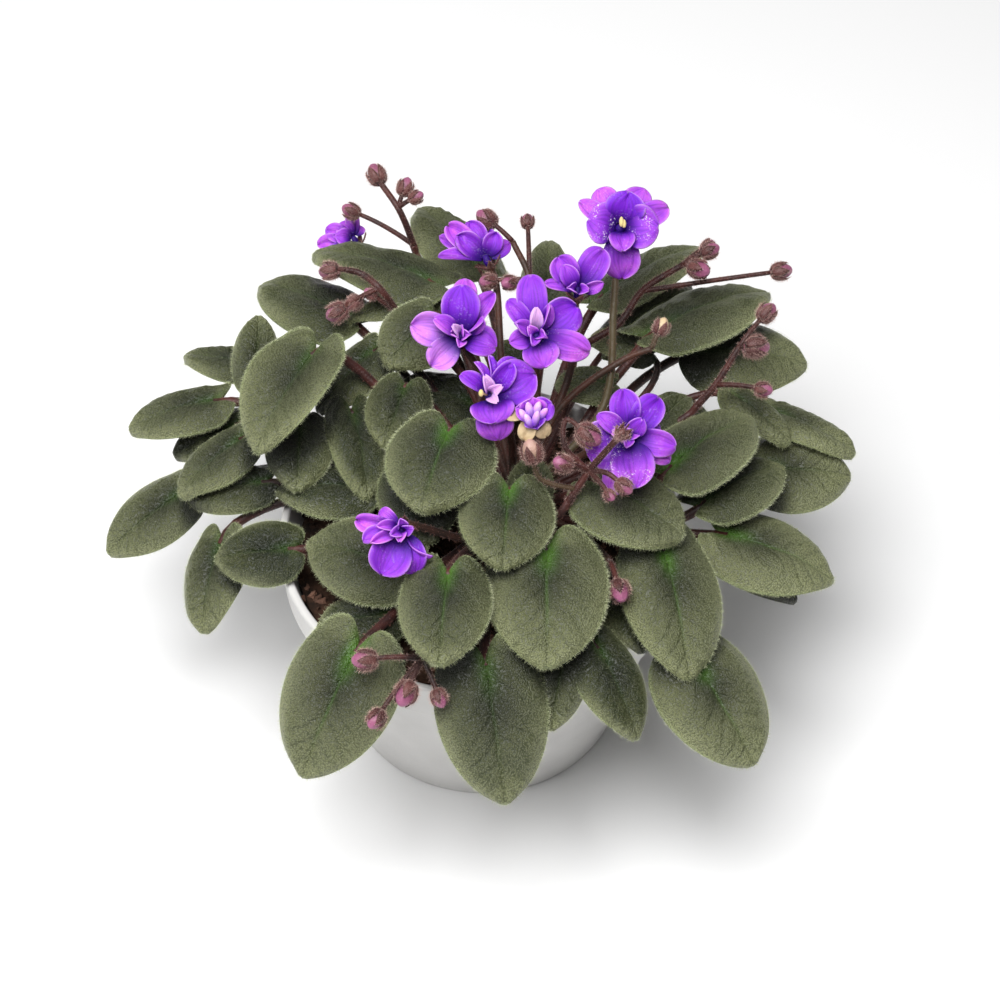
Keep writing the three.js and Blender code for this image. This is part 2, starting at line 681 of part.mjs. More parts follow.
// Pot: a turned wall with a collar at the rim, a flat base and a ring of drain holes.
function potGeometry() {
  const profile = [
    [0, 0],
    [BASE_RADIUS - 1, 0],
    [BASE_RADIUS, 1],
    [BODY_TOP_RADIUS, COLLAR_FOOT],
    [RIM_RADIUS - 0.9, COLLAR_FOOT + 0.5],
    [RIM_RADIUS, POT_HEIGHT - 1],
    [RIM_RADIUS - 0.8, POT_HEIGHT],
    [RIM_RADIUS - WALL, POT_HEIGHT],
    [RIM_RADIUS - WALL - 0.8, POT_HEIGHT - 1.5],
    [BODY_TOP_RADIUS - WALL, COLLAR_FOOT],
    [BASE_RADIUS - WALL + 0.2, FLOOR],
    [0, FLOOR],
  ].map(([x, y]) => new THREE.Vector2(x, y));
  const shell = new THREE.LatheGeometry(profile, POT_SIDES);
  shell.rotateX(Math.PI / 2);
  let pot = solidOf(shell);
  for (let k = 0; k < DRAIN_HOLES; k += 1) {
    const turn = (2 * Math.PI * k) / DRAIN_HOLES;
    const drill = new THREE.CylinderGeometry(DRAIN_RADIUS, DRAIN_RADIUS, 4 * FLOOR, 8);
    drill.rotateX(Math.PI / 2);
    drill.translate(DRAIN_CIRCLE * Math.cos(turn), DRAIN_CIRCLE * Math.sin(turn), 0);
    pot = pot.subtract(solidOf(drill));
  }
  return geometryOf(pot);
}

// Soil: it fills the pot to a little below the rim, with a lumpy dome and a plain hole for the crown.
function soilGeometry() {
  const inner = (z) => {
    const share = (z - FLOOR) / (COLLAR_FOOT - FLOOR);
    const inCollar = (z - COLLAR_FOOT) / (POT_HEIGHT - 1.5 - COLLAR_FOOT);
    const body = THREE.MathUtils.lerp(BASE_RADIUS - WALL + 0.2, BODY_TOP_RADIUS - WALL, share);
    const collar = THREE.MathUtils.lerp(BODY_TOP_RADIUS - WALL, RIM_RADIUS - WALL - 0.8, inCollar);
    return Math.min(body, collar) - 2 * GAP;
  };
  const foot = FLOOR + GAP;
  const profile = [
    [0, foot],
    [inner(foot), foot],
    [inner(COLLAR_FOOT), COLLAR_FOOT],
    [inner(SOIL_EDGE_HEIGHT - 2), SOIL_EDGE_HEIGHT - 2],
  ];
  const rings = 4;
  for (let i = 0; i <= rings; i += 1) {
    const share = i / rings;
    const radius = inner(SOIL_EDGE_HEIGHT) * (1 - share) - (i === rings ? 0 : 0.2);
    profile.push([Math.max(radius, 0), SOIL_EDGE_HEIGHT + SOIL_DOME * Math.sin((Math.PI / 2) * share)]);
  }
  const plug = new THREE.LatheGeometry(profile.map(([x, y]) => new THREE.Vector2(x, y)), SOIL_SIDES);
  plug.rotateX(Math.PI / 2);
  plug.deleteAttribute("normal");
  plug.deleteAttribute("uv");
  const lumpy = mergeVertices(plug, 1e-4);
  const random = randomFrom(5);
  const place = lumpy.attributes.position;
  for (let i = 0; i < place.count; i += 1) {
    const onTop = place.getZ(i) > SOIL_EDGE_HEIGHT - 1;
    if (onTop) place.setZ(i, place.getZ(i) + SOIL_LUMPS * (random() - 0.5));
  }
  const depth = 40;
  const hole = new THREE.CylinderGeometry(CROWN_RADIUS + GAP, CROWN_RADIUS + GAP, depth, 16);
  hole.rotateX(Math.PI / 2);
  hole.translate(CROWN_FOOT.x, CROWN_FOOT.y, CROWN_FOOT.z - 1 + depth / 2);
  return geometryOf(solidOf(lumpy).subtract(solidOf(hole)));
}

// Stems: the crown, every leaf and flower stalk, the small leaves and a few bud stalks.
function stemsGeometry() {
  const crownLine = new THREE.LineCurve3(CROWN_FOOT, CROWN_TIP);
  const pieces = [tubeGeometry(crownLine, taper(CROWN_RADIUS * 0.95, CROWN_RADIUS * 0.6), 4)];
  LEAVES.forEach((leaf) => pieces.push(petioleGeometry(leaf, false)));
  SMALL_LEAVES.forEach((leaf) => {
    pieces.push(petioleGeometry(leaf, true), leafGeometry({ rows: 4, ...leaf }));
  });
  FLOWERS.forEach((flower) => {
    const facing = point(flower.faces).normalize();
    const back = point(flower.at).addScaledVector(facing, -CORE_HEIGHT * flower.radius / 2);
    const through = flower.stalk.map(point);
    const start = crownPoint(72, through[0]);
    pieces.push(stalkGeometry([start, ...through, ...landing(back, facing)], PEDUNCLE_RADIUS, true));
  });
  SPRAY_STALKS.forEach((stalk, i) => {
    const through = stalk.map(point);
    const [first, second] = SPRAYS[i].stalk.map(point);
    const onward = second.clone().sub(first).normalize();
    const places = [crownPoint(70, through[0]), ...through, ...landing(first, onward)];
    pieces.push(stalkGeometry(places, PEDUNCLE_RADIUS, false));
  });
  STEM_SPRAYS.forEach((spray) => {
    const through = spray.stalk.map(point);
    pieces.push(stalkGeometry([crownPoint(70, through[0]), ...through], PEDUNCLE_RADIUS, false));
    spray.buds.forEach((bud) => pieces.push(...budOnStalk(through[bud.from], bud)));
  });
  return fuse(pieces);
}

function addMesh(group, name, geometry, finish) {
  const mesh = new THREE.Mesh(geometry, new THREE.MeshStandardMaterial(FINISH[finish]));
  mesh.name = name;
  group.add(mesh);
}

const numbered = (word, i) => `${word}_${String(i + 1).padStart(2, "0")}`;

const violet = new THREE.Group();
addMesh(violet, "pot", potGeometry(), "pot");
addMesh(violet, "soil", soilGeometry(), "soil");
addMesh(violet, "stems", stemsGeometry(), "stems");
LEAVES.forEach((leaf, i) => addMesh(violet, numbered("leaf", i), leafGeometry(leaf), "leaf"));
FLOWERS.forEach((flower, i) => addMesh(violet, numbered("flower", i), flowerGeometry(flower), "flower"));
SPRAYS.forEach((spray, i) => addMesh(violet, numbered("buds", i), sprayGeometry(spray), "bud"));

export default violet;
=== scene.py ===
"""A compact, double-flowered African violet in a small round pot.

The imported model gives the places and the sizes. This script replaces its plain solids with
finer pieces: furred leaves with sunken veins, petals in layers, hairy stalks, buds with their
sepals, crumbly soil and a moulded pot. Tables are in millimetres and meshes are in metres.
"""

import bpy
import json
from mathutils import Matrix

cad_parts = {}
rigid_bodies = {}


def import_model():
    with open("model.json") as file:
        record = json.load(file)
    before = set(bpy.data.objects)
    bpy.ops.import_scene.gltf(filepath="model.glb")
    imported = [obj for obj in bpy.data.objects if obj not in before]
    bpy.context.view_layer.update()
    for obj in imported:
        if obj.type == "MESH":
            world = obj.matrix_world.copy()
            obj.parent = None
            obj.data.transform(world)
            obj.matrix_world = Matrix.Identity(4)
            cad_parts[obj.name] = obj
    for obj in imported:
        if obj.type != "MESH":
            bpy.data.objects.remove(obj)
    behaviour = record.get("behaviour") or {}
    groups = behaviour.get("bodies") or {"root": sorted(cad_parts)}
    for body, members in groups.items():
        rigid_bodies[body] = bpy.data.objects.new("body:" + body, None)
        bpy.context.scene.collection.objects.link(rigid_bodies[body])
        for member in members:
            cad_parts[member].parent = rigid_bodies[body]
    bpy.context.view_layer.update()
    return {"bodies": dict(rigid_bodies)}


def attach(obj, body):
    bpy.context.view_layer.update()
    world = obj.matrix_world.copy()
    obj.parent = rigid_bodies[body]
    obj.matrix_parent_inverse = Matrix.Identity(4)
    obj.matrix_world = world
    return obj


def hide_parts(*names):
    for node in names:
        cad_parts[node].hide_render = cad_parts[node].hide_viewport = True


bl_info = {
    "name": "Potted African violet",
    "version": (1, 0, 0),
    "blender": (4, 5, 0),
    "location": "3D View > Sidebar > Violet",
    "description": "Builds a potted African violet piece by piece on its packed frame",
    "category": "Object",
}

import json
import math

import bpy
import numpy as np
from bpy.props import FloatProperty, FloatVectorProperty, IntProperty, PointerProperty
from mathutils import Matrix, Vector

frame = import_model()
BODY = next(iter(frame["bodies"]))
MM = 0.001
UP = np.array([0.0, 0, 1])

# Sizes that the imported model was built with, in millimetres
POT_HEIGHT = 64
RIM_RADIUS = 52.5
COLLAR_FOOT = POT_HEIGHT - 12
BODY_TOP_RADIUS = RIM_RADIUS - 3.1
BASE_RADIUS = 37
WALL = 1.8
FLOOR = 2.4
DRAIN_HOLES = 6
DRAIN_RADIUS = 3
DRAIN_CIRCLE = 24
SOIL_EDGE_HEIGHT = 58
SOIL_DOME = 3
GAP = 0.3
CROWN_FOOT = np.array([10.0, 8, 44])
CROWN_TIP = np.array([9.0, 5, 76])
CROWN_RADIUS = 6.5
PETIOLE_RADIUS = 1.6
PETIOLE_REACH = 0.09
PETIOLE_DIP = 4
PEDUNCLE_RADIUS = 1.15
PEDICEL_RADIUS = 0.85
STALK_CLEARANCE = 3.45
LEAF_ARCH = 0.07
LEAF_CUP = 0.2
LOBE_LIFT = 0.3
CORE_HEIGHT = 0.34
PETAL_FOOT = 1.2
BROAD_FROM = 6

# What this script adds to them: side veins as shares of the blade's length, how much deeper the notch
# is, how much thinner the fur below a blade, how much denser the hair of buds than of stalks, and how
# many points a curve has between two places
VEIN_SPACING = 0.155
VEIN_START = 0.05
VEIN_SLANT = 0.4
NOTCH = 0.07
UNDER_FUR = 0.35
BUD_FUR = 2.4
PATH_STEPS = 8

# Petals are given as they look to someone who looks down on the plant at this angle
VIEW_ANGLE = math.radians(49)
VIEW_UP = np.array([0, math.sin(VIEW_ANGLE), math.cos(VIEW_ANGLE)])
VIEW_TOWARDS = np.array([0, -math.cos(VIEW_ANGLE), math.sin(VIEW_ANGLE)])

# The stage, in metres: half the floor's width, what the lights and the camera look at, the lights' places
# and widths, and the camera's sensor in millimetres
FLOOR_REACH = 4
LIT_POINT = Vector((0, 0, 0.07))
VIEWED_POINT = Vector((0.004633, 0.00641, 0.069573))
KEY_PLACE, KEY_SIZE = (-0.13, -0.2, 0.94), 0.8
SIDE_PLACE, SIDE_SIZE = (-0.7, -0.35, 0.6), 0.4
SENSOR_WIDTH = 36

# Slots of the materials in each kind of piece
STALK, SEPAL, BUD = 0, 1, 2
PETAL, ANTHER, FOLDED, CREAM_SEPAL = 0, 1, 2, 3

# Seeds of what varies from piece to piece
SOIL_SEED, CRUMB_SEED, STALK_FUR_SEED, SMALL_FUR_SEED, BUD_FUR_SEED = 5, 4, 11, 12, 13
SPRAY_SEED, FLOWER_SEED, LEAF_SEED, SMALL_LEAF_SEED = 20, 40, 100, 300

# Leaves: stalk end of the blade, tip, width, roll in degrees, and how pale the leaf is
LEAVES = [
    # Back
    ((-13, 67, 88), (-46, 80, 87), 26, 18, 0.25), ((-35, 62, 79), (-61, 80, 75), 26, 10, 0.15),
    ((-1, 79, 81), (-18, 106, 79), 22, 15, 0.35), ((31, 67, 82), (60, 87, 82), 23, -25, 0.35),
    ((44, 50, 86), (77, 69, 83), 27, -18, 0.2), ((58, 56, 74), (87, 52, 72), 27, 4, 0.75),
    # Left
    ((-60, 41.5, 75.9), (-60, 61, 82), 13, 5, 0.3), ((-62, 53, 70), (-81, 61, 66), 15, 12, 0.2),
    ((-70, 40, 71), (-94, 35, 65), 19, 5, 0.35), ((-65, 37, 65), (-82, 30, 60), 15, -10, 0.0),
    ((-62, 22, 76), (-78, 8, 69), 18, 12, 0.3), ((-43, 35, 95), (-57, 7, 87), 24, 10, 0.5),
    ((-28, 48, 82), (-43, 31, 76), 18, 10, 0.2), ((-47, 23, 80), (-47, 3, 77), 18, 0, 0.2),
    ((-34, 28, 80), (-29, 0, 77), 16, -15, 0.0), ((-20, 32, 85), (-25, 14, 81), 17, -5, 0.2),
    ((-13, 50.5, 92), (-25, 38, 86), 20, -10, 0.4), ((-29, 6, 74), (-53, 7, 72), 19, 5, 0.0),
    ((-56, 12, 70), (-76, 9, 66), 15, -8, 0.15), ((-78, 17, 61), (-98, 3, 52), 19, -8, 0.5),
    ((-48, -10.5, 70), (-68, -10.5, 66), 18, -18, 0.0), ((-67, -1, 62.5), (-71, -25, 54), 18, 18, 0.45),
    # Front
    ((-8, 5, 98), (-15, -18, 93), 28, 0, 0.25), ((-17, 1, 87), (-13, -19, 82), 21, 0, 0.15),
    ((-19, -23, 78), (-44, -11, 73), 24, -20, 0.3), ((-22, -28.5, 66.5), (-41, -33, 66), 16, -8, 0.0),
    ((-30, -43, 72), (-44, -67, 50), 29, -5, 0.55), ((-8, -31, 86), (-10, -57, 82), 23, 0, 0.3),
    ((1, -49, 74.5), (6, -75, 50), 28, 4, 0.35), ((21, -42, 71), (17, -60, 60), 14, 0, 0.45),
    ((28, -42, 71), (38, -62, 59), 18, -12, 0.0), ((16, -22, 85), (16, -54, 77), 31, 0, 0.6),
    ((7, -10, 93), (5, -32, 88), 24, -3, 0.3),
    # Right
    ((28.5, -4, 88.5), (50, -17, 82), 28, -5, 0.35), ((45, -16, 78), (51, -49, 66), 26, -8, 0.6),
    ((51.5, -41, 65), (67, -64, 51), 28, 0, 0.7), ((61, -4, 68.5), (90, -13.5, 61), 27, -5, 0.95),
    ((47, 4, 84), (70, 26, 80), 25, -5, 0.4), ((56, 1, 74), (78, 18, 70), 21, -8, 0.25),
    ((73, 20.5, 66), (97, 21, 62), 24, 15, 0.95), ((76, 37, 70), (98, 25, 66), 17, -20, 0.85),
]
# The leaf that is folded up along its midrib, and its cup
FOLDED_LEAF = 11
FOLDED_CUP = -0.3
# Leaves with a bright flare at the stalk end
FLARED = {22, 26, 27, 31, 32, 34, 35, 36, 37}
BRIGHT_FLARE, FAINT_FLARE = 0.95, 0.35

# Small leaves that grow as one body with the stems
SMALL_LEAVES = [
    ((34, -21, 67), (40, -40, 65), 13, 0, 0.0), ((66, -10, 61), (80.5, -17, 57), 9, 0, 0.4),
    ((34, 58, 74), (57, 79, 76), 15, 0, 0.4), ((17, 67, 78), (18, 94, 78), 15, 0, 0.4),
    ((-19, 64, 84), (-36, 58, 82), 9, 20, 0.3), ((66, 37, 76), (80, 23, 72), 13, -15, 0.6),
    ((-3, 54, 84), (-13, 64, 84), 12, 0, 0.3), ((33.5, 36.5, 81), (19, 35, 82), 14, 0, 0.25),
    ((41, 21, 76), (55, 39, 74), 11, 0, 0.1), ((12, -3, 80), (13, 5, 88), 12, 0, 0.1),
    ((44, 51, 78), (28.5, 54.5, 80), 12, 0, 0.4), ((56.5, 32, 70), (45.5, 39.5, 72), 15, 0, 0.0),
    ((-1, 36.5, 72), (-22.5, 43, 74), 20, 0, 0.0), ((10, 46, 76), (4, 54, 78), 14, 0, 0.0),
]

# Flowers: centre, facing, radius and the stalk's points. Then each petal: how far its tip lies from the
# centre to the right, up and towards the viewer, its width, its roll, and how pink it is.
FLOWERS = [
    ((35.6, 60.6, 114), (0.05, -0.65, 0.75), 12.5, [(31, 25, 84), (34, 46, 101)], [
        (2, 9, 4.5, 10, 0, 0.05), (-8, 2, 4.5, 10.5, 0, 0.4), (9.5, 0, 4, 11, 0, 0.4),
        (0.5, -6, 6, 6.5, 0, 0.45), (-5.5, 10.5, 0, 7, 0, 0.75), (6.5, 10.5, 0, 7.5, 0, 0.8),
        (-10.5, 7, 1.5, 5, 0, 0.7), (12.5, 5.5, 1, 6.5, 0, 0.7), (0.5, -13, -1, 9.5, 0, 0.6),
    ]),
    ((1.2, 65.9, 97.5), (-0.4, 0.55, 0.7), 10, [(5, 40, 86)], [
        (-8, 6.5, 2, 6, 0, 0.3), (-10.5, 9.5, -1, 6, 0, 0.9), (-5, 10.5, 0, 6.5, 0, 0.4),
        (2.5, 7.5, 1.5, 5.5, 0, 0.3), (6, 5, 0, 4.5, 0, 0.4), (-12.5, 2, 2.5, 3.5, 20, 0.4),
        (-13, 7, -2, 4, 0, 0.5), (-1.5, 9, -3, 6, 0, 0.2),
    ]),
    ((-5.5, 31.3, 104), (0.1, -0.65, 0.75), 12.5, [(2, 28, 88)], [
        (-12.5, 3, 2, 8.5, 0, 0.95), (-7.5, -7.5, 2, 7.5, 0, 0.95), (9, -2.5, 2.5, 8, -15, 0.35),
        (8.5, 11.5, 1, 5.5, 0, 0.6), (0.5, 13, 3, 9.5, 0, 0.1), (1.5, 15, 0, 6.5, 0, 0.9),
        (-6, 4.5, 5.5, 5, 25, 0.7), (6, 4.5, 6, 3, 60, 0.5), (-1.5, 2.5, 6, 2.5, 30, 1.0),
    ]),
    ((13.7, 27.7, 108), (0.1, -0.65, 0.75), 12.5, [(14, 22, 90)], [
        (-1.5, 15.5, 1, 7.5, 0, 0.25), (10.5, 7.5, 1, 9.5, 0, 0.15), (13.5, -4, 2.5, 7.5, 0, 0.9),
        (2, -8.2, 3, 9, 0, 0.6), (-6.5, -1.5, 3, 5.5, 0, 0.5), (-7, 9, 2, 5, 0, 0.3),
        (-5, 3, 6, 4, 20, 0.4), (3.5, 7.5, 5, 3, 60, 0.5), (0, 6.5, 5.5, 3.5, 0, 1.0),
    ]),
    ((2.2, 7, 108), (0.05, -0.65, 0.75), 12, [(7, 10, 92)], [
        (11, 5.5, 2.5, 11, 0, 0.2), (5.5, 8, 4, 5.5, 0, 0.1), (-7, 5.5, 2.5, 5, 35, 0.2),
        (-3, 8.5, 3, 3, 55, 0.3), (0.5, 10, 1, 3.5, 45, 0.1), (6.5, 9.5, -1, 6, 0, 0.1),
        (1, -6.5, 4, 10.5, 0, 0.4), (8, -3.5, 0.5, 6, 0, 0.3), (2, -11, -0.5, 9, 0, 0.55),
        (-1, 4.5, 6, 3, 20, 1.0), (2.5, 2, 7, 3, -20, 1.0), (1.5, -1.5, 7, 3, 0, 1.0),
    ]),
    ((12.7, 1.6, 107), (0.05, -0.7, 0.7), 5, [(13, 7, 92)], [
        (4.5, 2.5, 3, 6, 0, 0.2), (0, 4, 3, 6.5, 0, 0.8), (-4, 1.5, 3, 5, 0, 0.5),
        (1, -3.5, 3, 5.5, 0, 0.1),
    ]),
    ((36.5, 1.5, 99), (0, -0.65, 0.75), 12.5, [(27, 10, 84)], [
        (-1.5, 12, 1, 7.5, 0, 0.2), (7.5, 10, 1, 7.5, 0, 0.1), (11.5, -2.5, 2.5, 6.5, 0, 0.5),
        (10.5, -6, 0, 5.5, 0, 0.8), (1.5, -12.5, 4.5, 10.5, 0, 0.55), (-10.5, -3.5, 1.5, 12, 0, 0.3),
        (-4.5, -14.5, 1, 7, 0, 0.7), (-7.5, 5.5, 3, 5, 0, 0.4), (3, 4, 6, 5, 10, 0.3),
        (-3.5, 1, 6.5, 4, 0, 0.9),
    ]),
    ((-19.2, -23.6, 93), (-0.2, -0.8, 0.5), 9, [(0, -14, 78)], [
        (-5, -11, 2, 10, 0, 0.25), (3, -10.5, 1, 8, 0, 0.2), (7, -7, 2, 3, 70, 0.5),
        (-11.5, 2.5, -1, 5, 0, 0.8), (-9.5, -2.5, 2.5, 4.5, 30, 0.4), (-7.5, -3, 5, 3, 0, 0.9),
        (-6, 1, 4.5, 3, 20, 0.7), (-5.5, 5, -1, 4, 0, 0.6), (-2.5, -1, 5.5, 3, 0, 0.4),
    ]),
    ((-35.3, 92.2, 80), (-0.5, 0.3, 0.8), 8, [(-10, 60, 74)], [
        (-10.5, -1, 0, 4.5, 0, 0.7), (-8, 3, 1, 5.5, 0, 0.6), (-4, 4.5, 1.5, 5.5, 0, 0.6),
        (-1, 7.5, 0.5, 4, 0, 0.9), (1.5, 4, 0, 4, 0, 0.7), (-9, -5.5, 0, 4.5, 0, 0.3),
        (-5, 1, 3, 5, 0, 0.5),
    ]),
    ((24.4, 43, 108.5), (0.1, 0.5, 0.85), 9, [(23, 34, 90)], [
        (-5, 9, 1, 7, 0, 0.5), (6.5, 11, 1.5, 7.5, 0, 0.3), (-8.5, 2, 2, 3.5, 30, 0.6),
        (6.5, 2, 3, 3.5, 20, 0.6), (1.5, 7, -2, 6, 0, 0.1), (-3.5, 6.5, 3, 5, 0, 0.5),
    ]),
]
HALF_OPEN = 5
# Its cream sepals, given as petals are
CREAM_SEPALS = [(-6.6, -0.4, 0.8, 4.2, 30, 0.65), (-2.2, -6.2, 1.5, 4.6, 0, 0.75),
                (3.4, -5.4, 1.0, 4.6, 0, 0.55)]
# Its folded petals: place from its centre, lean to the right, length
FOLDED_PETALS = [(-2.2, -0.4, 3.2, -0.5, 4.4), (-0.8, 0.9, 3.0, -0.2, 5.0), (0.9, 1.2, 2.8, 0.3, 4.8),
                 (2.3, 0.1, 2.6, 0.7, 4.2), (-1.1, -1.6, 4.4, -0.4, 4.2), (0.7, -1.0, 4.6, 0.2, 4.4)]
# Anthers that show: flower, place from its centre to the right, up and towards the viewer, width, length
ANTHERS = [(0, (0.2, 1.4, 4.2), 1.3, 2.6), (0, (0.9, 0.9, 4.0), 1.1, 2.2), (4, (-2.2, 0.6, 5.0), 1.3, 1.8)]

# Looks of buds: colour values of the petals that show, and a calyx whose petals have dropped
MAUVE, PEACH, CREAM, SPENT = 0.0, 0.45, 0.9, -1.0

# Bud sprays: points of the main stalk, the first ones down to the crown, then the buds as (point of the
# upper stalk, place, size, look, and points that its own stalk runs through)
SPRAYS = [
    ([(-6, 60, 76)], [(-19, 86, 84), (-21, 88, 90), (-23, 90, 94), (-28, 97, 97)], [
        (3, (-29, 99, 98), 6.5, MAUVE), (2, (-21, 94, 98), 5.5, MAUVE), (2, (-18, 91, 97), 4.5, MAUVE),
        (0, (-36, 93, 90), 5.5, MAUVE),
    ]),
    ([(-6, 44, 78)], [(-22, 56, 87), (-27, 58, 95), (-32, 62.5, 96), (-36, 63, 97)], [
        (3, (-40.5, 64, 95.5), 6, MAUVE), (1, (-38.5, 56, 88), 6.5, MAUVE), (1, (-34, 57.5, 90), 5, MAUVE),
        (0, (-29.5, 58.5, 92.5), 4, MAUVE),
    ]),
    ([(22, 32, 78)], [(28, 49, 84), (36, 52, 88), (42, 59, 93), (53, 65, 97)], [
        (3, (60, 67, 100), 5.5, MAUVE), (3, (57, 62, 98), 6.5, MAUVE), (3, (60, 72, 97), 4.5, MAUVE),
        (2, (79, 64.5, 95), 6, MAUVE, (61, 62, 94)),
    ]),
    ([(36, 20, 74)], [(56, 30, 80), (60.5, 32.5, 85), (66.5, 38.5, 93)], [
        (2, (74, 47, 97), 6, MAUVE), (2, (71, 39.5, 92), 7.5, MAUVE), (1, (72.5, 28, 88), 5, MAUVE),
    ]),
    ([(18, -9, 81)], [(21.5, -12, 90), (23.5, -10.5, 93), (26.5, -8, 97), (33.5, -6, 107)], [
        (3, (34.5, -6, 109), 6, SPENT), (2, (26.5, -3, 104.5), 7, MAUVE, (20.5, -4, 102), (21, 0.5, 106.5)),
        (2, (20, -9, 101), 5.5, MAUVE), (2, (35, -14, 98), 5, MAUVE, (31, -10.5, 99)),
        (2, (31.5, -16, 97), 3.5, MAUVE), (1, (12.5, -6, 102), 6.5, PEACH, (14.5, -9.5, 96)),
    ]),
    ([(-3, -24, 70)], [(-11, -44, 73), (-14, -50, 76)], [
        (1, (-28, -52, 78), 6.5, MAUVE), (1, (-18, -60, 75), 7, MAUVE), (1, (-25, -66, 73), 5.5, MAUVE),
        (1, (-10, -59, 72), 5, MAUVE),
    ]),
]

# Bud stalks that grow as one body with the stems: points of the main stalk, and the buds
STEM_SPRAYS = [
    ([(12, 40, 84), (12.5, 62, 94), (8, 70.5, 100)], [
        (2, (1, 76, 103), 6.5, MAUVE), (1, (12, 79.5, 99), 4.5, MAUVE), (1, (1.5, 59.5, 96), 5, MAUVE),
        (1, (7, 58, 97), 5, MAUVE),
    ]),
    ([(20, 25, 84), (36.5, 33, 94), (43.5, 34, 97)], [(2, (46, 38, 101), 5, CREAM)]),
    ([(26, -10, 74), (32, -22, 79)], [(1, (34, -31.5, 79), 6.5, MAUVE)]),
]


# Vectors and curves

def vec(place):
    return np.array(place, float)


def unit(v):
    return v / np.linalg.norm(v)


def level(v):
    """A vector laid flat, of length one."""
    return unit(v * [1, 1, 0])


def smoothstep(low, high, value):
    t = np.clip((np.asarray(value, float) - low) / (high - low), 0, 1)
    return t * t * (3 - 2 * t)


def hump(value, reach):
    """One at nought, fading to both sides over a reach."""
    return np.exp(-(value / reach) ** 2)


def turned(v, axis, degrees):
    """A vector turned about an axis."""
    a = math.radians(degrees)
    return v * math.cos(a) + np.cross(axis, v) * math.sin(a) + axis * np.dot(axis, v) * (1 - math.cos(a))


def frame_to(direction, spin=0.0):
    """Columns of a rotation that takes +Z to a direction."""
    quaternion = Vector((0, 0, 1)).rotation_difference(Vector(unit(vec(direction))))
    return np.array(quaternion.to_matrix() @ Matrix.Rotation(spin, 3, "Z"))


def seen(right, up, towards):
    """An offset as the viewer sees it: to the right, up and nearer."""
    return np.array([right, 0, 0]) + up * VIEW_UP + towards * VIEW_TOWARDS


def bezier(p0, p1, p2, p3, t):
    t = np.asarray(t, float)[:, None]
    s = 1 - t
    return s**3 * p0 + 3 * s * s * t * p1 + 3 * s * t * t * p2 + t**3 * p3


def half_outline(places, size, t):
    """Half an outline, x along and y out to the side: two curves end to end through seven places, which
    are shares of a length and a half width."""
    places = vec(places) * size
    first = bezier(*places[:4], np.clip(2 * t, 0, 1))
    second = bezier(*places[3:], np.clip(2 * t - 1, 0, 1))
    return np.where((t < 0.5)[:, None], first, second)


def smooth_path(places, steps=PATH_STEPS):
    """A curve through places, with knots by the root of their distance so that short spans don't loop."""
    def between(start, end, first, last):
        return (end - t) / (end - start) * first + (t - start) / (end - start) * last

    p = vec(places)
    p = np.vstack([2 * p[0] - p[1], p, 2 * p[-1] - p[-2]])
    pieces = []
    for i in range(1, len(p) - 2):
        p0, p1, p2, p3 = p[i - 1:i + 3]
        t0 = 0.0
        t1 = t0 + np.linalg.norm(p1 - p0) ** 0.5
        t2 = t1 + np.linalg.norm(p2 - p1) ** 0.5
        t3 = t2 + np.linalg.norm(p3 - p2) ** 0.5
        t = np.linspace(t1, t2, steps, endpoint=False)[:, None]
        middle = between(t1, t2, p1, p2)
        before = between(t0, t2, between(t0, t1, p0, p1), middle)
        after = between(t1, t3, middle, between(t2, t3, p2, p3))
        pieces.append(between(t1, t2, before, after))
    return np.vstack([*pieces, p[-2:-1]])


def covered(places, own=None):
    """How far each place lies below other leaves, as seen from straight above, from 0 to 1: how much painted
    shade leaves and stalks get there.
    """
    places = vec(places)
    most = np.zeros(places.shape[:-1])
    for leaf in LEAVES:
        if leaf is own:
            continue
        base, tip, width, roll, tone = leaf
        run = vec(tip) - vec(base)
        off = places - (vec(base) + 0.42 * run)
        x = (off @ level(run)) / (0.62 * math.hypot(run[0], run[1]))
        y = (off @ np.cross(UP, level(run))) / (0.5 * width)
        above = smoothstep(0.5, 5, -off[..., 2] - 2)
        most = np.maximum(most, above * (1 - smoothstep(0.75, 1.2, np.hypot(x, y))))
    return most


# Putting a mesh together

VALUES = ("flare", "rim", "margin", "shade", "sparkle", "under", "tone", "reach", "furry")


class Form:
    """Points, faces and values of a piece while it is put together, in millimetres."""

    def __init__(self):
        self.points, self.faces, self.finishes = [], [], []
        self.values = {name: [] for name in VALUES}
        self.grain, self.uv = [], []
        self.count = 0

    def add(self, points, faces, finish, grain=(0, 0, 0), uv=(0, 0), **values):
        n = len(points)
        self.points.append(np.asarray(points, float))
        self.faces += [tuple(int(k) + self.count for k in face) for face in faces]
        self.finishes += [finish] * len(faces)
        for name in VALUES:
            self.values[name].append(np.broadcast_to(np.asarray(values.get(name, 0.0), float), n))
        self.grain.append(np.broadcast_to(grain, (n, 3)))
        self.uv.append(np.broadcast_to(uv, (n, 2)))
        self.count += n

    def mesh(self, name, materials):
        mesh = bpy.data.meshes.new(name)
        mesh.from_pydata((np.vstack(self.points) * MM).tolist(), [], self.faces)
        mesh.polygons.foreach_set("material_index", self.finishes)
        mesh.polygons.foreach_set("use_smooth", [True] * len(self.faces))
        for key, parts in self.values.items():
            mesh.attributes.new(key, "FLOAT", "POINT").data.foreach_set("value", np.concatenate(parts))
        grain = mesh.attributes.new("grain", "FLOAT_VECTOR", "POINT")
        grain.data.foreach_set("vector", np.vstack(self.grain).ravel())
        corners = np.zeros(len(mesh.loops), np.int32)
        mesh.loops.foreach_get("vertex_index", corners)
        mesh.uv_layers.new(name="UVMap").data.foreach_set("uv", np.vstack(self.uv)[corners].ravel())
        for material in materials:
            mesh.materials.append(material)
        mesh.validate()
        return mesh


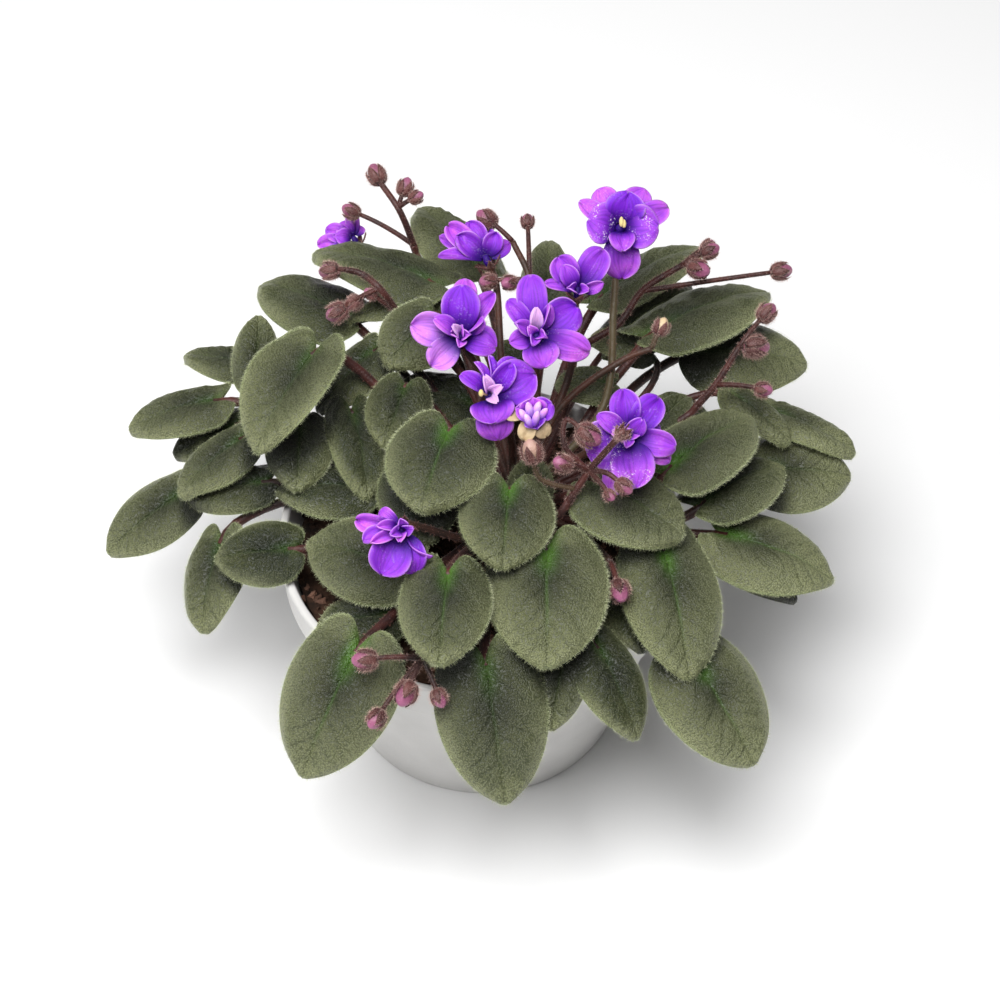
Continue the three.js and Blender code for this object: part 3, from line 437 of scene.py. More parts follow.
def blade(form, grid, thickness, finish, out, foot_point=False, grain=(0, 0, 0), uv=None, **values):
    """A closed thin blade over a grid of places. Its two sides meet at the outline. Its last row is one
    point, and so is the first with foot_point. Values and the map are given over the grid."""
    rows, cols = grid.shape[:2]
    normal = np.cross(np.gradient(grid, axis=0), np.gradient(grid, axis=1))
    length = np.linalg.norm(normal, axis=2, keepdims=True)
    normal = np.where(length > 1e-6, normal / np.maximum(length, 1e-6), out)
    if foot_point:
        normal[0] = normal[1].mean(axis=0)
    normal[-1] = normal[-2].mean(axis=0)
    half = np.broadcast_to(thickness, (rows, cols)) / 2
    index, points, source, sides = {}, [], [], []

    def point_at(i, j, side):
        if i == rows - 1 or (foot_point and i == 0):
            j = cols // 2
        if i in (0, rows - 1) or j in (0, cols - 1):
            side = 0
        if (i, j, side) not in index:
            index[i, j, side] = len(points)
            points.append(grid[i, j] + side * half[i, j] * normal[i, j])
            source.append((i, j))
            sides.append(side)
        return index[i, j, side]

    faces = []
    for i in range(rows - 1):
        for j in range(cols - 1):
            for side in (1, -1):
                ring = [point_at(*spot, side) for spot in ((i, j), (i + 1, j), (i + 1, j + 1), (i, j + 1))]
                face = [c for k, c in enumerate(ring) if c != ring[k - 1]]
                if len(face) > 2:
                    faces.append(face[::side])
    i, j = np.array(source).T
    picked = {key: np.broadcast_to(value, (rows, cols))[i, j] for key, value in values.items()}
    picked["under"] = (np.array(sides) < 0).astype(float)
    if "furry" in picked:
        picked["furry"] = picked["furry"] * np.where(picked["under"] > 0, UNDER_FUR, 1)
    uv = np.stack([j / (cols - 1), i / (rows - 1)], axis=1) if uv is None else uv[i, j]
    form.add(points, faces, finish, grain=np.broadcast_to(grain, grid.shape)[i, j], uv=uv, **picked)


def ring_faces(count, sides):
    """Faces of a solid of stacked rings, whose two end points come after them."""
    faces = []
    for i in range(count - 1):
        for k in range(sides):
            a, b = i * sides + k, i * sides + (k + 1) % sides
            faces.append((a, b, b + sides, a + sides))
    for k in range(sides):
        faces.append((count * sides, (k + 1) % sides, k))
        faces.append((count * sides + 1, (count - 1) * sides + k, (count - 1) * sides + (k + 1) % sides))
    return faces


def tube(form, path, radii, sides, finish=STALK, furry=1.0, **values):
    """A closed round tube along a path, its rings kept from twisting."""
    path = vec(path)
    tangents = np.gradient(path, axis=0)
    tangents /= np.linalg.norm(tangents, axis=1, keepdims=True)
    normal = unit(np.cross(tangents[0], UP if abs(tangents[0][2]) < 0.9 else (1.0, 0, 0)))
    turns = 2 * np.pi * np.arange(sides) / sides
    rings = []
    for centre, radius, tangent in zip(path, np.broadcast_to(radii, len(path)), tangents):
        normal = unit(normal - tangent * np.dot(normal, tangent))
        other = np.cross(tangent, normal)
        rings.append(centre + radius * (np.outer(np.cos(turns), normal) + np.outer(np.sin(turns), other)))
    points = np.vstack(rings + [path[:1], path[-1:]])
    grain = np.vstack([np.repeat(0.3 * tangents, sides, axis=0), tangents[:1], tangents[-1:]])
    # The shade value paints shade on stalks that lie below leaves
    form.add(points, ring_faces(len(path), sides), finish, grain=grain, furry=furry, shade=covered(points),
             **values)


def lathe(form, profile, sides, finish=0, rotation=np.eye(3), at=(0, 0, 0), lobes=0.0, top=1.0, **values):
    """A solid of revolution from a profile that starts and ends on the axis, with five soft lobes."""
    profile = vec(profile)
    turns = 2 * np.pi * np.arange(sides) / sides
    swell = 1 + lobes * np.cos(5 * turns)
    rings = [np.stack([r * swell * np.cos(turns), r * swell * np.sin(turns), np.full(sides, z)], axis=1)
             for r, z in profile[1:-1]]
    points = np.vstack(rings + [[[0, 0, profile[0][1]]], [[0, 0, profile[-1][1]]]])
    reach = top * np.concatenate([np.repeat(np.linspace(0, 1, len(rings)), sides), [0, 1]])
    form.add(points @ rotation.T + vec(at), ring_faces(len(rings), sides), finish, reach=reach, **values)


def added(name, data):
    """A new object in the scene."""
    made = bpy.data.objects.new(name, data)
    bpy.context.scene.collection.objects.link(made)
    return made


def show(name, mesh, slot, *nodes):
    """A finished piece: on the frame's body, standing for its CAD nodes. Its slot is not used."""
    piece = added(name, mesh)
    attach(piece, BODY)
    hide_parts(*nodes)


# Building blocks of materials and geometry nodes

class Net:
    """A node tree, with short ways to add nodes that are fed by values or by other nodes."""

    def __init__(self, tree):
        self.tree = tree

    def feed(self, socket, value):
        if isinstance(value, bpy.types.NodeSocket):
            self.tree.links.new(value, socket)
        elif socket.type == "RGBA" and len(value) == 3:
            socket.default_value = (*value, 1)
        else:
            socket.default_value = value

    def add(self, kind, inputs=None, **settings):
        """A node with its settings and inputs."""
        made = self.tree.nodes.new(kind)
        for key, value in settings.items():
            setattr(made, key, value)
        for key, value in (inputs or {}).items():
            self.feed(made.inputs[key], value)
        return made

    def calc(self, operation, *values, **settings):
        """The result of a Math node."""
        made = self.add("ShaderNodeMath", dict(enumerate(values)), operation=operation, **settings)
        return made.outputs[0]

    def vector(self, operation, *values):
        """The result of a Vector Math node."""
        return self.add("ShaderNodeVectorMath", dict(enumerate(values)), operation=operation).outputs[0]

    def ramp(self, value, low, high, start=0.0, end=1.0, shape="LINEAR"):
        """A value, as it goes from low to high, turned into one that goes from start to end."""
        ends = {"Value": value, "From Min": low, "From Max": high, "To Min": start, "To Max": end}
        return self.add("ShaderNodeMapRange", ends, interpolation_type=shape).outputs[0]

    def scaled(self, value, factor):
        return self.calc("MULTIPLY", value, factor, use_clamp=True)

    def value(self, name):
        """A value that the mesh holds."""
        return self.add("ShaderNodeAttribute", attribute_name=name).outputs["Fac"]

    def field(self, name, kind="FLOAT"):
        """The same in geometry nodes."""
        named = self.add("GeometryNodeInputNamedAttribute", {"Name": name}, data_type=kind)
        return named.outputs["Attribute"]

    def place(self):
        return self.add("ShaderNodeTexCoord").outputs["Object"]

    def map(self):
        return self.add("ShaderNodeUVMap", uv_map="UVMap").outputs[0]

    def noise(self, place, scale, detail):
        cloud = self.add("ShaderNodeTexNoise", {"Vector": place, "Scale": scale, "Detail": detail})
        return cloud.outputs["Fac"]

    def blend(self, factor, first, second):
        """Two colours mixed by a factor."""
        return self.add("ShaderNodeMix", {0: factor, 6: first, 7: second}, data_type="RGBA").outputs[2]

    def group(self, tree, **inputs):
        return self.add("ShaderNodeGroup", inputs, node_tree=tree).outputs


class Finish(Net):
    """A new material, as the net of its nodes."""

    def __init__(self, name):
        self.material = bpy.data.materials.new(name)
        self.material.use_nodes = True
        super().__init__(self.material.node_tree)

    def patches(self, first, second, scale, contrast=0.15):
        outputs = self.group(patches_group(), First=first, Second=second, Scale=scale, Contrast=contrast)
        return outputs["Color"]

    def skin(self, scale, depth, height):
        outputs = self.group(skin_group(), Scale=scale, Depth=depth, Height=height)
        return outputs["Mask"], outputs["Normal"]

    def layers(self, colour, *layers):
        """A colour with others laid over it, each by its amount."""
        for amount, over in layers:
            colour = self.blend(amount, colour, over)
        return colour

    def done(self, colour, **values):
        """The material, once its shader has its colour and its other inputs."""
        shader = self.tree.nodes["Principled BSDF"]
        self.feed(shader.inputs["Base Color"], colour)
        for key, value in values.items():
            self.feed(shader.inputs[key.replace("_", " ").title().replace("Ior", "IOR")], value)
        return self.material


def node_group(name, kind, inputs, outputs):
    """Makes a function the maker of a node group. It is given the group's net and inputs, and gives what
    goes to its outputs. The group is built once, when it is first asked for."""
    def wrap(build):
        def made():
            if name in bpy.data.node_groups:
                return bpy.data.node_groups[name]
            net = Net(bpy.data.node_groups.new(name, f"{kind}NodeTree"))
            for label, (socket, *default) in inputs.items():
                put = net.tree.interface.new_socket(label, in_out="INPUT", socket_type=f"NodeSocket{socket}")
                if default:
                    put.default_value = default[0]
            for label, socket in outputs.items():
                net.tree.interface.new_socket(label, in_out="OUTPUT", socket_type=f"NodeSocket{socket}")
            results = build(net, net.add("NodeGroupInput").outputs)
            net.add("NodeGroupOutput", dict(zip(outputs, results)))
            return net.tree
        return made
    return wrap


@node_group("Pebbled skin", "Shader",
            {"Scale": ("Float", 900.0), "Depth": ("Float", 0.4), "Height": ("Float", 0.0002)},
            {"Mask": "Float", "Normal": "Vector"})
def skin_group(net, given):
    """Pebbled skin: a mask of small domes and a normal, for leaves, stalks, buds, petals and soil."""
    place = net.place()
    cells = net.add("ShaderNodeTexVoronoi", {"Vector": place, "Scale": given["Scale"]}, feature="F1")
    domes = net.ramp(cells.outputs["Distance"], 0, 0.75, 1, 0, "SMOOTHSTEP")
    half = net.calc("MULTIPLY", net.noise(place, given["Scale"], 3), 0.6)
    lift = net.calc("MULTIPLY_ADD", domes, 0.55, half, use_clamp=True)
    bump = net.add("ShaderNodeBump", {"Strength": given["Depth"], "Distance": given["Height"],
                                      "Height": lift})
    return lift, bump.outputs["Normal"]


@node_group("Leaf veins", "Shader", {"Width": ("Float", 0.1)}, {"Mask": "Float"})
def vein_group(net, given):
    """The leaf's sunken midrib and side veins, drawn from its own map: a mask for colour and bump."""
    place = net.add("ShaderNodeSeparateXYZ", {0: net.map()}).outputs
    side = net.calc("ABSOLUTE", net.calc("MULTIPLY_ADD", place[0], 2.0, -1.0))
    slant = net.calc("MULTIPLY_ADD", side, -VEIN_SLANT, place[1])
    turns = net.calc("MULTIPLY_ADD", slant, 1 / VEIN_SPACING, 0.5 - VEIN_START / VEIN_SPACING)
    near = net.calc("ABSOLUTE", net.calc("SUBTRACT", net.calc("FRACT", turns), 0.5))
    line = net.ramp(near, 0, given["Width"], 1, 0, "SMOOTHSTEP")
    veins = net.calc("MULTIPLY", line, net.ramp(side, 0.35, 0.85, 1, 0))
    return [net.calc("MAXIMUM", veins, net.ramp(side, 0, 0.07, 1, 0, "SMOOTHSTEP"))]


@node_group("Soft patches", "Shader",
            {"First": ("Color",), "Second": ("Color",), "Scale": ("Float", 200.0),
             "Contrast": ("Float", 0.15)},
            {"Color": "Color"})
def patches_group(net, given):
    """Two colours in soft patches."""
    low = net.calc("SUBTRACT", 0.5, given["Contrast"])
    high = net.calc("ADD", 0.5, given["Contrast"])
    mask = net.ramp(net.noise(net.place(), given["Scale"], 4), low, high)
    return [net.blend(mask, given["First"], given["Second"])]


# Materials

# Painted shade on stems where leaves cover them from above
STEM_SHADE = (0.006, 0.002, 0.0015)


def leaf_material(s):
    """Velvet in two greens with a bright flare, speckled by its skin: painted highlight on the grain tops and
    painted shade in the pits. The margin is paler with painted sheen, and the sunken veins, the notch and the
    parts below other leaves are darker with painted shade.
    """
    net = Finish("Velvety leaf")
    veins = net.group(vein_group(), Width=0.25)["Mask"]
    mask, skin = net.skin(2300, 1.0, 0.0004)
    colour = net.layers(
        net.patches(s.dark, s.middle, 150),
        # Pale by the leaf's own tone, and by painted sheen along the margin
        (net.scaled(net.value("tone"), 0.75), s.pale), (net.scaled(net.value("margin"), 0.78), s.pale),
        # Painted shade in the sunken veins and in the pits of the skin, painted highlight on its grain tops
        (net.scaled(veins, 0.18), s.dark), (net.ramp(mask, 0.5, 0.85, 0, 0.34), s.pale),
        (net.ramp(mask, 0.25, 0.5, 0.62, 0), s.dark), (net.scaled(net.value("rim"), 0.5), s.rim),
        # Underside colour, then painted shade below other leaves and around the notch
        (net.scaled(net.value("under"), 0.8), s.under), (net.scaled(net.value("shade"), 0.95), s.painted_shade),
        (net.scaled(net.value("flare"), 0.62), s.flare))
    bump = net.add("ShaderNodeBump", {"Strength": 0.5, "Distance": 0.0004, "Normal": skin,
                                      "Height": net.calc("MULTIPLY", veins, -1.0)})
    return net.done(colour, normal=bump.outputs["Normal"], roughness=0.38, specular_ior_level=0.48,
                    sheen_weight=0.12, sheen_roughness=0.3, sheen_tint=(0.75, 0.8, 0.5))


def fur_material(name, colour, fringe):
    """Hairs; those of the dense fringe along a margin have a colour of their own."""
    net = Finish(name)
    dense = net.ramp(net.value("furry"), 1.5, 5)
    return net.done(net.blend(dense, colour, fringe), roughness=0.5, specular_ior_level=0.4)


def bud_fur_material(s):
    return fur_material("Bud hair", s.bud_hair, s.bud_hair)


def stem_material(name, dark, light, pale):
    """Fleshy skin in two reds, paler by its tone, with painted shade that is darkest where leaves cover it.
    """
    net = Finish(name)
    colour = net.layers(net.patches(dark, light, 220), (net.value("tone"), pale),
                        (net.scaled(net.value("shade"), 0.85), STEM_SHADE))
    return net.done(colour, normal=net.skin(1700, 0.6, 0.0002)[1], roughness=0.5, specular_ior_level=0.4,
                    sheen_weight=0.1, sheen_tint=(0.9, 0.75, 0.7))


def stalk_material(s):
    return stem_material("Brown-red stalk", s.dark, s.light, s.green)


def sepal_material(s):
    return stem_material("Hairy sepal", s.sepal_dark, s.sepal_light, s.cream)


def bud_material(s):
    """Folds in two reds, paler towards the tip, or cream by the bud's own value."""
    net = Finish("Bud skin")
    tip = net.ramp(net.value("reach"), 0.3, 0.95, 0, 0.8)
    colour = net.layers(net.patches(s.dark, s.light, 600), (tip, s.tip), (net.value("tone"), s.cream))
    return net.done(colour, normal=net.skin(1800, 0.5, 0.0002)[1], roughness=0.45, sheen_weight=0.1,
                    sheen_tint=(0.95, 0.75, 0.8))


def petal_material(s):
    """Violet to pink by the petal's own value, the pink partly painted highlight, with fine lengthwise veins
    and a thin pale rim. Its dark foot is partly its own colour and partly painted shade in the throat, and
    painted glints of highlight lie on its cells."""
    net = Finish("Glistening petal")
    reach, pink, place = net.value("reach"), net.value("tone"), net.place()
    shades = net.patches((0.42, 0.42, 0.42), (1, 1, 1), 260, 0.2)
    # Pink outer halves: partly the petals' own colour, partly painted highlight where light falls on them
    pink_and_highlight = net.calc("MULTIPLY", net.calc("MULTIPLY", net.ramp(reach, 0.12, 0.7), pink), shades)
    drawn_out = net.add("ShaderNodeMapping", {"Vector": net.map(), "Scale": (16.0, 1.2, 1.0)}).outputs[0]
    # Painted highlight: glints scattered over the petal's cells
    glint = net.calc("MULTIPLY", net.ramp(net.noise(place, 2200, 2), 0.56, 0.66),
                     net.ramp(net.noise(place, 260, 2), 0.45, 0.62))
    mask, skin = net.skin(3600, 0.7, 0.00014)
    colour = net.layers(
        s.middle, (pink_and_highlight, s.outer), (net.ramp(pink, 0.93, 1, 0, 0.85), s.petaloid),
        (net.ramp(net.noise(drawn_out, 1, 3), 0.48, 0.72, 0, 0.5), s.base),
        # Dark foot: partly the petals' own deep violet, partly painted shade in the throat
        (net.ramp(reach, 0.05, 0.64, 0.95, 0, "SMOOTHSTEP"), s.base),
        (net.scaled(net.value("rim"), 0.65), s.rim), (net.scaled(glint, net.value("sparkle")), s.glint))
    return net.done(colour, normal=skin, roughness=net.ramp(mask, 0.3, 0.8, 0.55, 0.32),
                    specular_ior_level=0.25, subsurface_weight=0.1, subsurface_scale=0.0006)


def folded_petal_material(s):
    """The pale folded petals in the middle of a half-open flower."""
    net = Finish("Folded petal")
    colour = net.blend(net.ramp(net.value("reach"), 0.3, 0.75, 0.9, 0),
                       net.patches(s.outer, s.glint, 400, 0.3), s.middle)
    return net.done(colour, normal=net.skin(3600, 0.5, 0.00014)[1], roughness=0.4, subsurface_weight=0.1,
                    subsurface_scale=0.0006)


def anther_material(s):
    net = Finish("Pollen sac")
    mask, skin = net.skin(2500, 0.3, 0.0001)
    colour = net.blend(net.scaled(mask, 0.3), s.anther, [0.6 * c for c in s.anther])
    return net.done(colour, normal=skin, roughness=0.6)


def soil_material(s):
    net = Finish("Potting soil")
    colour = net.blend(net.value("crumb"), net.patches(s.dark, s.light, 300), s.bark)
    return net.done(colour, normal=net.skin(700, 1.0, 0.0006)[1], roughness=0.95, specular_ior_level=0.2)


def pot_material(s):
    net = Finish("Moulded pot plastic")
    mask, skin = net.skin(1500, 0.12, 0.0001)
    return net.done(net.patches(s.colour, s.worn, 60, 0.25), normal=skin,
                    roughness=net.ramp(mask, 0, 1, 0.34, 0.5), specular_ior_level=0.5)


# Geometry node trees

def strewn(net, given):
    """Points over the faces, as many as the furry value and the density say."""
    density = net.calc("MULTIPLY", net.field("furry"), given["Density"])
    return net.add("GeometryNodeDistributePointsOnFaces",
                   {"Mesh": given["Geometry"], "Density": density, "Seed": given["Seed"]}).outputs


def by_chance(net, low, high):
    """A random number, or a random vector, for each point."""
    if isinstance(low, tuple):
        return net.add("FunctionNodeRandomValue", {0: low, 1: high}, data_type="FLOAT_VECTOR").outputs[0]
    return net.add("FunctionNodeRandomValue", {2: low, 3: high}, data_type="FLOAT").outputs[1]


def made_real(net, given, instances, material):
    """Instances as real faces with their material, together with the mesh that they stand on."""
    real = net.add("GeometryNodeRealizeInstances", {"Geometry": instances})
    dressed = net.add("GeometryNodeSetMaterial", {"Geometry": real.outputs[0], "Material": given[material]})
    joined = net.add("GeometryNodeJoinGeometry")
    for part in (dressed.outputs[0], given["Geometry"]):
        net.tree.links.new(part, joined.inputs[0])
    return [joined.outputs[0]]


@node_group("Fur", "Geometry",
            {"Geometry": ("Geometry",), "Density": ("Float", 1.0), "Length": ("Float", 0.001),
             "Width": ("Float", 0.0001), "Seed": ("Int", 0), "Hair": ("Material",)},
            {"Geometry": "Geometry"})
def fur_tree(net, given):
    """Short pointed hairs on the faces, denser by the furry value and combed by the grain value."""
    spread = strewn(net, given)
    combed = net.vector("ADD", spread["Normal"], net.field("grain", "FLOAT_VECTOR"))
    aim = net.vector("ADD", combed, by_chance(net, (-0.4, -0.4, -0.4), (0.4, 0.4, 0.4)))
    turn = net.add("FunctionNodeAlignRotationToVector", {"Vector": aim}, axis="Z")
    radius = net.calc("MULTIPLY", given["Width"], 0.5)
    hair = net.add("GeometryNodeMeshCone", {"Vertices": 3, "Radius Top": 0.0, "Radius Bottom": radius,
                                            "Depth": given["Length"]}, fill_type="NGON")
    tall = net.calc("MULTIPLY", by_chance(net, 0.5, 1.2), net.ramp(net.field("furry"), 1, 5, 1, 1.6))
    size = net.add("ShaderNodeCombineXYZ", {"X": 1.0, "Y": 1.0, "Z": tall})
    placed = net.add("GeometryNodeInstanceOnPoints",
                     {"Points": spread["Points"], "Instance": hair.outputs["Mesh"],
                      "Rotation": turn.outputs[0], "Scale": size.outputs[0]})
    return made_real(net, given, placed.outputs[0], "Hair")


@node_group("Crumbs", "Geometry",
            {"Geometry": ("Geometry",), "Density": ("Float", 1.0), "Size": ("Float", 0.001),
             "Seed": ("Int", 0), "Soil": ("Material",)},
            {"Geometry": "Geometry"})
def crumb_tree(net, given):
    """Rough crumbs on the soil's top, each with its own turn, size and colour value."""
    spread = strewn(net, given)
    ball = net.add("GeometryNodeMeshIcoSphere", {"Radius": given["Size"], "Subdivisions": 2})
    wobble = net.add("ShaderNodeTexNoise", {"Scale": 700.0, "Detail": 1.0}).outputs["Color"]
    push = net.vector("MULTIPLY", net.vector("SUBTRACT", wobble, (0.5, 0.5, 0.5)), (0.0028, 0.0028, 0.0028))
    rough = net.add("GeometryNodeSetPosition", {"Geometry": ball.outputs["Mesh"], "Offset": push})
    placed = net.add("GeometryNodeInstanceOnPoints",
                     {"Points": spread["Points"], "Instance": rough.outputs[0],
                      "Rotation": by_chance(net, (0, 0, 0), (6.28, 6.28, 6.28)),
                      "Scale": by_chance(net, (0.35, 0.5, 0.3), (1.3, 1.7, 0.9))})
    bark = net.calc("POWER", by_chance(net, 0.0, 1.0), 4.0)
    marked = net.add("GeometryNodeStoreNamedAttribute",
                     {"Geometry": placed.outputs[0], "Name": "crumb", "Value": bark},
                     data_type="FLOAT", domain="INSTANCE")
    return made_real(net, given, marked.outputs[0], "Soil")


def grown(mesh, tree, **inputs):
    """A plain mesh of what a geometry node tree makes of a mesh."""
    carrier = added("carrier", mesh)
    modifier = carrier.modifiers.new("grow", "NODES")
    modifier.node_group = tree
    for item in tree.interface.items_tree:
        if item.in_out == "INPUT" and item.name in inputs:
            modifier[item.identifier] = inputs[item.name]
    result = bpy.data.meshes.new_from_object(carrier.evaluated_get(bpy.context.evaluated_depsgraph_get()))
    result.name = mesh.name
    bpy.data.objects.remove(carrier)
    return result


def show_furred(form, name, materials, s, seed, fur, slot, node, thicker=1.0):
    """A finished piece with hairs on it, by the settings of its kind."""
    mesh = grown(form.mesh(name, materials), fur_tree(), Density=thicker * s.hair_density,
                 Length=s.hair_length, Width=s.hair_width, Seed=seed, Hair=fur)
    show(name, mesh, slot, node)


# Leaves

# Halves of outlines: shares of the length and of the half width
LEAF_OUTLINE = ((0, 0), (-0.3, 0.03), (-0.23, 0.95), (0.3, 1), (0.66, 1), (0.93, 0.5), (1, 0))
# Columns of a blade's grid, from the midrib out, closer at the margin
HALF_COLUMNS = (0, 0.06, 0.13, 0.22, 0.32, 0.43, 0.55, 0.67, 0.78, 0.87, 0.93, 0.97, 1)


def leaf_frame(leaf):
    """Where the stalk meets a blade, the ways along, across and out of it, and its length."""
    base, tip, width, roll, tone = leaf
    along = vec(tip) - vec(base)
    length = np.linalg.norm(along)
    along /= length
    across = turned(unit(np.cross(UP, along)), along, roll)
    return vec(base), along, across, np.cross(along, across), length


def rib_rise(length, x):
    return 4 * LEAF_ARCH * x * (1 - x / length)


def add_leaf(form, leaf, s, seed, rows, cup=LEAF_CUP, fresh=0.3):
    """One blade: arched, cupped, with a valley along the midrib, swollen between the side veins, and
    with a margin that waves a little and curls down. Fresh says how bright its flare is."""
    origin, along, across, out, length = leaf_frame(leaf)
    rng = np.random.default_rng(seed)
    half = leaf[2] / 2
    columns = np.array([-c for c in HALF_COLUMNS[:0:-1]] + list(HALF_COLUMNS))
    u = np.linspace(0, 1, rows + 1)
    edge = half_outline(LEAF_OUTLINE, (length, half), u)
    rib = length * u**1.15
    v = np.abs(columns)[None, :]
    left_right = np.sign(columns)[None, :]
    x = rib[:, None] * (1 - v) + edge[:, :1] * v
    y = edge[:, 1:] * columns[None, :]
    x = x + NOTCH * length * hump(y, 0.2 * half) * (1 - smoothstep(0, 0.25, x / length))
    share = x / length
    side = np.abs(y) / half
    inner = 1 - smoothstep(0.7, 1, v)
    end = smoothstep(0.75, 1, share)

    # The side veins wander, and the blade swells between them
    drift = left_right * 0.6 + rng.uniform(0, 6.28)
    wander = 0.035 * np.sin(8 * share + 2 * drift) + 0.02 * np.sin(19 * share + 3 * side + 3 * drift)
    mapped = share + wander * smoothstep(0, 0.25, side)
    between = (mapped - VEIN_SLANT * side - VEIN_START) / VEIN_SPACING
    quilt = (0.5 - 0.5 * np.cos(2 * np.pi * between)) * smoothstep(0.08, 0.4, side) * inner
    quilt = quilt * (0.75 + 0.35 * np.sin(7 * share + 4 * side + drift))
    midrib = hump(y, 0.8) * (1 - 0.5 * smoothstep(0.4, 1, share))
    valley = hump(y, 0.26 * half) * (1 - 0.7 * end)
    waves = sum(rng.uniform(0.2, 0.4) * np.sin(rng.uniform(2, 5) * np.pi * u[:, None] + rng.uniform(0, 6.28)
                                               + 1.5 * left_right) for _ in range(2))
    swells = sum(rng.uniform(0.1, 0.25) * np.sin(x * rng.uniform(0.2, 0.6) + y * rng.uniform(-0.6, 0.6)
                                                 + rng.uniform(0, 6.28)) for _ in range(3))

    height = np.where(x < 0, -LOBE_LIFT * x, rib_rise(length, x)) - cup * side**2 * half
    height = height + s.vein_depth / MM * (quilt - midrib) - s.valley_depth / MM * valley
    height = height + 0.5 * np.cos(np.clip(side, 0, 1) * np.pi * 0.5)
    height = height - s.curl / MM * (0.8 * smoothstep(0.7, 1, v) + 0.6 * smoothstep(0.82, 1, share))
    height = height + waves * smoothstep(0.4, 1, v) + swells * smoothstep(0.05, 0.3, share) * inner
    height = height - height[0, len(columns) // 2]
    grid = origin + x[..., None] * along + y[..., None] * across + height[..., None] * out

    flare = fresh * hump(y, 0.16 * half) * (1 - smoothstep(0.05, 0.36, share))
    flare = np.maximum(flare, 0.35 * fresh * hump(y, 0.6) * (1 - smoothstep(0.4, 0.9, share)))
    rim = np.maximum(smoothstep(0.94, 1, v), smoothstep(0.97, 1, share))
    # Painted sheen: the margin and the tip turn pale, standing for light caught by the hairs
    margin = np.clip(smoothstep(0.55, 1, v) * smoothstep(0.1, 0.6, share) + 0.8 * end, 0, 1)
    # Painted shade: the blade darkens where other leaves lie above it, and around its notch and along the
    # lower midrib
    shade = covered(grid, leaf)
    painted_notch_shade = 0.9 * hump(y, 0.58 * half) * smoothstep(-0.08, 0.08, share) * (1 - smoothstep(0.3, 0.8, share))
    # Hairs lean outwards, and stand out flat along the margin
    outward = left_right[..., None] * across + 0.8 * share[..., None] * along
    grain = 0.3 * along + (0.25 + 4 * smoothstep(0.8, 1, v))[..., None] * outward * side[..., None]
    furry = 1 + s.fringe * np.maximum(smoothstep(0.92, 0.98, v), smoothstep(0.96, 1, share))
    blade(form, grid, 1.2 * (1 - v**3) + 0.25, 0, out, foot_point=True, grain=grain,
          uv=np.stack([0.5 + 0.5 * y / half, mapped], axis=-1), flare=flare, rim=rim, margin=margin,
          tone=leaf[4], shade=np.maximum(shade, painted_notch_shade), furry=furry * (1 - 0.6 * shade))


# Stalks

def crown_point(height, towards):
    """Where a stalk leaves the crown at a height, on the side of where it goes."""
    share = (height - CROWN_FOOT[2]) / (CROWN_TIP[2] - CROWN_FOOT[2])
    axis = CROWN_FOOT + (CROWN_TIP - CROWN_FOOT) * share
    return axis + level(vec(towards) - axis) * CROWN_RADIUS * 0.4


def petiole_path(leaf, spring=0.08, fused=False):
    """A leaf stalk out of the crown, over the rim where it passes it, and up to the blade."""
    origin, along, across, out, length = leaf_frame(leaf)
    distance = math.hypot(origin[0] - CROWN_TIP[0], origin[1] - CROWN_TIP[1])
    start = crown_point(min(max(76 - distance * 0.2, 63), 74), origin)
    reach = PETIOLE_REACH * length
    end = origin + along * reach
    if not fused:
        end = end - out * (0.7 + PETIOLE_RADIUS + GAP - rib_rise(length, reach))
    span = np.linalg.norm(start - end)
    first = start + level(end - start) * span * 0.35
    first[2] += span * spring
    second = end - along * span * 0.3 - out * PETIOLE_DIP
    second[2] = min(second[2], end[2] + 2)
    while True:
        path = bezier(start, first, second, end, np.linspace(0, 1, 41))
        out_to = np.hypot(path[:, 0], path[:, 1])
        near = (out_to > RIM_RADIUS - 2 * WALL - PETIOLE_RADIUS) & (out_to < RIM_RADIUS + PETIOLE_RADIUS)
        if not near.any() or path[near, 2].min() - POT_HEIGHT >= PETIOLE_RADIUS + 2 * GAP:
            break
        first[2] += 1
        second[2] += 0.5
    t = np.linspace(0, 1, 17)
    blade_base = origin + along * 0.06 * length - out * 0.2
    return bezier(start, first, second, end, t) + smoothstep(0.75, 1, t)[:, None] * (blade_base - end)


# Buds

# A bud's outline from its foot to its tip: radius and height as shares of its length
BUD_OUTLINE = np.array([(0, -0.5), (0.13, -0.49), (0.24, -0.42), (0.31, -0.28), (0.35, -0.08), (0.335, 0.1),
                        (0.28, 0.27), (0.18, 0.41), (0.08, 0.48), (0, 0.5)])


def add_sepals(form, at, direction, length, width, spread, furry, spin=0.0):
    """Five narrow pointed sepals round a stalk's end, opened by an angle from the stalk's line."""
    turn = frame_to(direction, spin)
    t = np.linspace(0, 1, 7)
    s = np.linspace(1, -1, 5)
    profile = np.sin(np.pi * (0.18 + 0.82 * t) ** 0.8) * (1 - t**6)
    opening = math.radians(spread)
    for angle in 2 * np.pi * np.arange(5) / 5:
        outward = np.array([math.cos(angle), math.sin(angle), 0])
        sideways = np.array([-math.sin(angle), math.cos(angle), 0])
        line = np.outer(t, outward * math.sin(opening) + UP * math.cos(opening)) * length
        line = line + 0.25 * width * outward + np.outer(t * (1 - t), outward) * 0.4 * length
        grid = line[:, None, :] + (profile[:, None] * s[None, :])[..., None] * sideways * width / 2
        grid = grid - (0.2 * width * (s**2))[None, :, None] * outward
        blade(form, grid @ turn.T + vec(at), 0.35, SEPAL, direction, furry=furry)


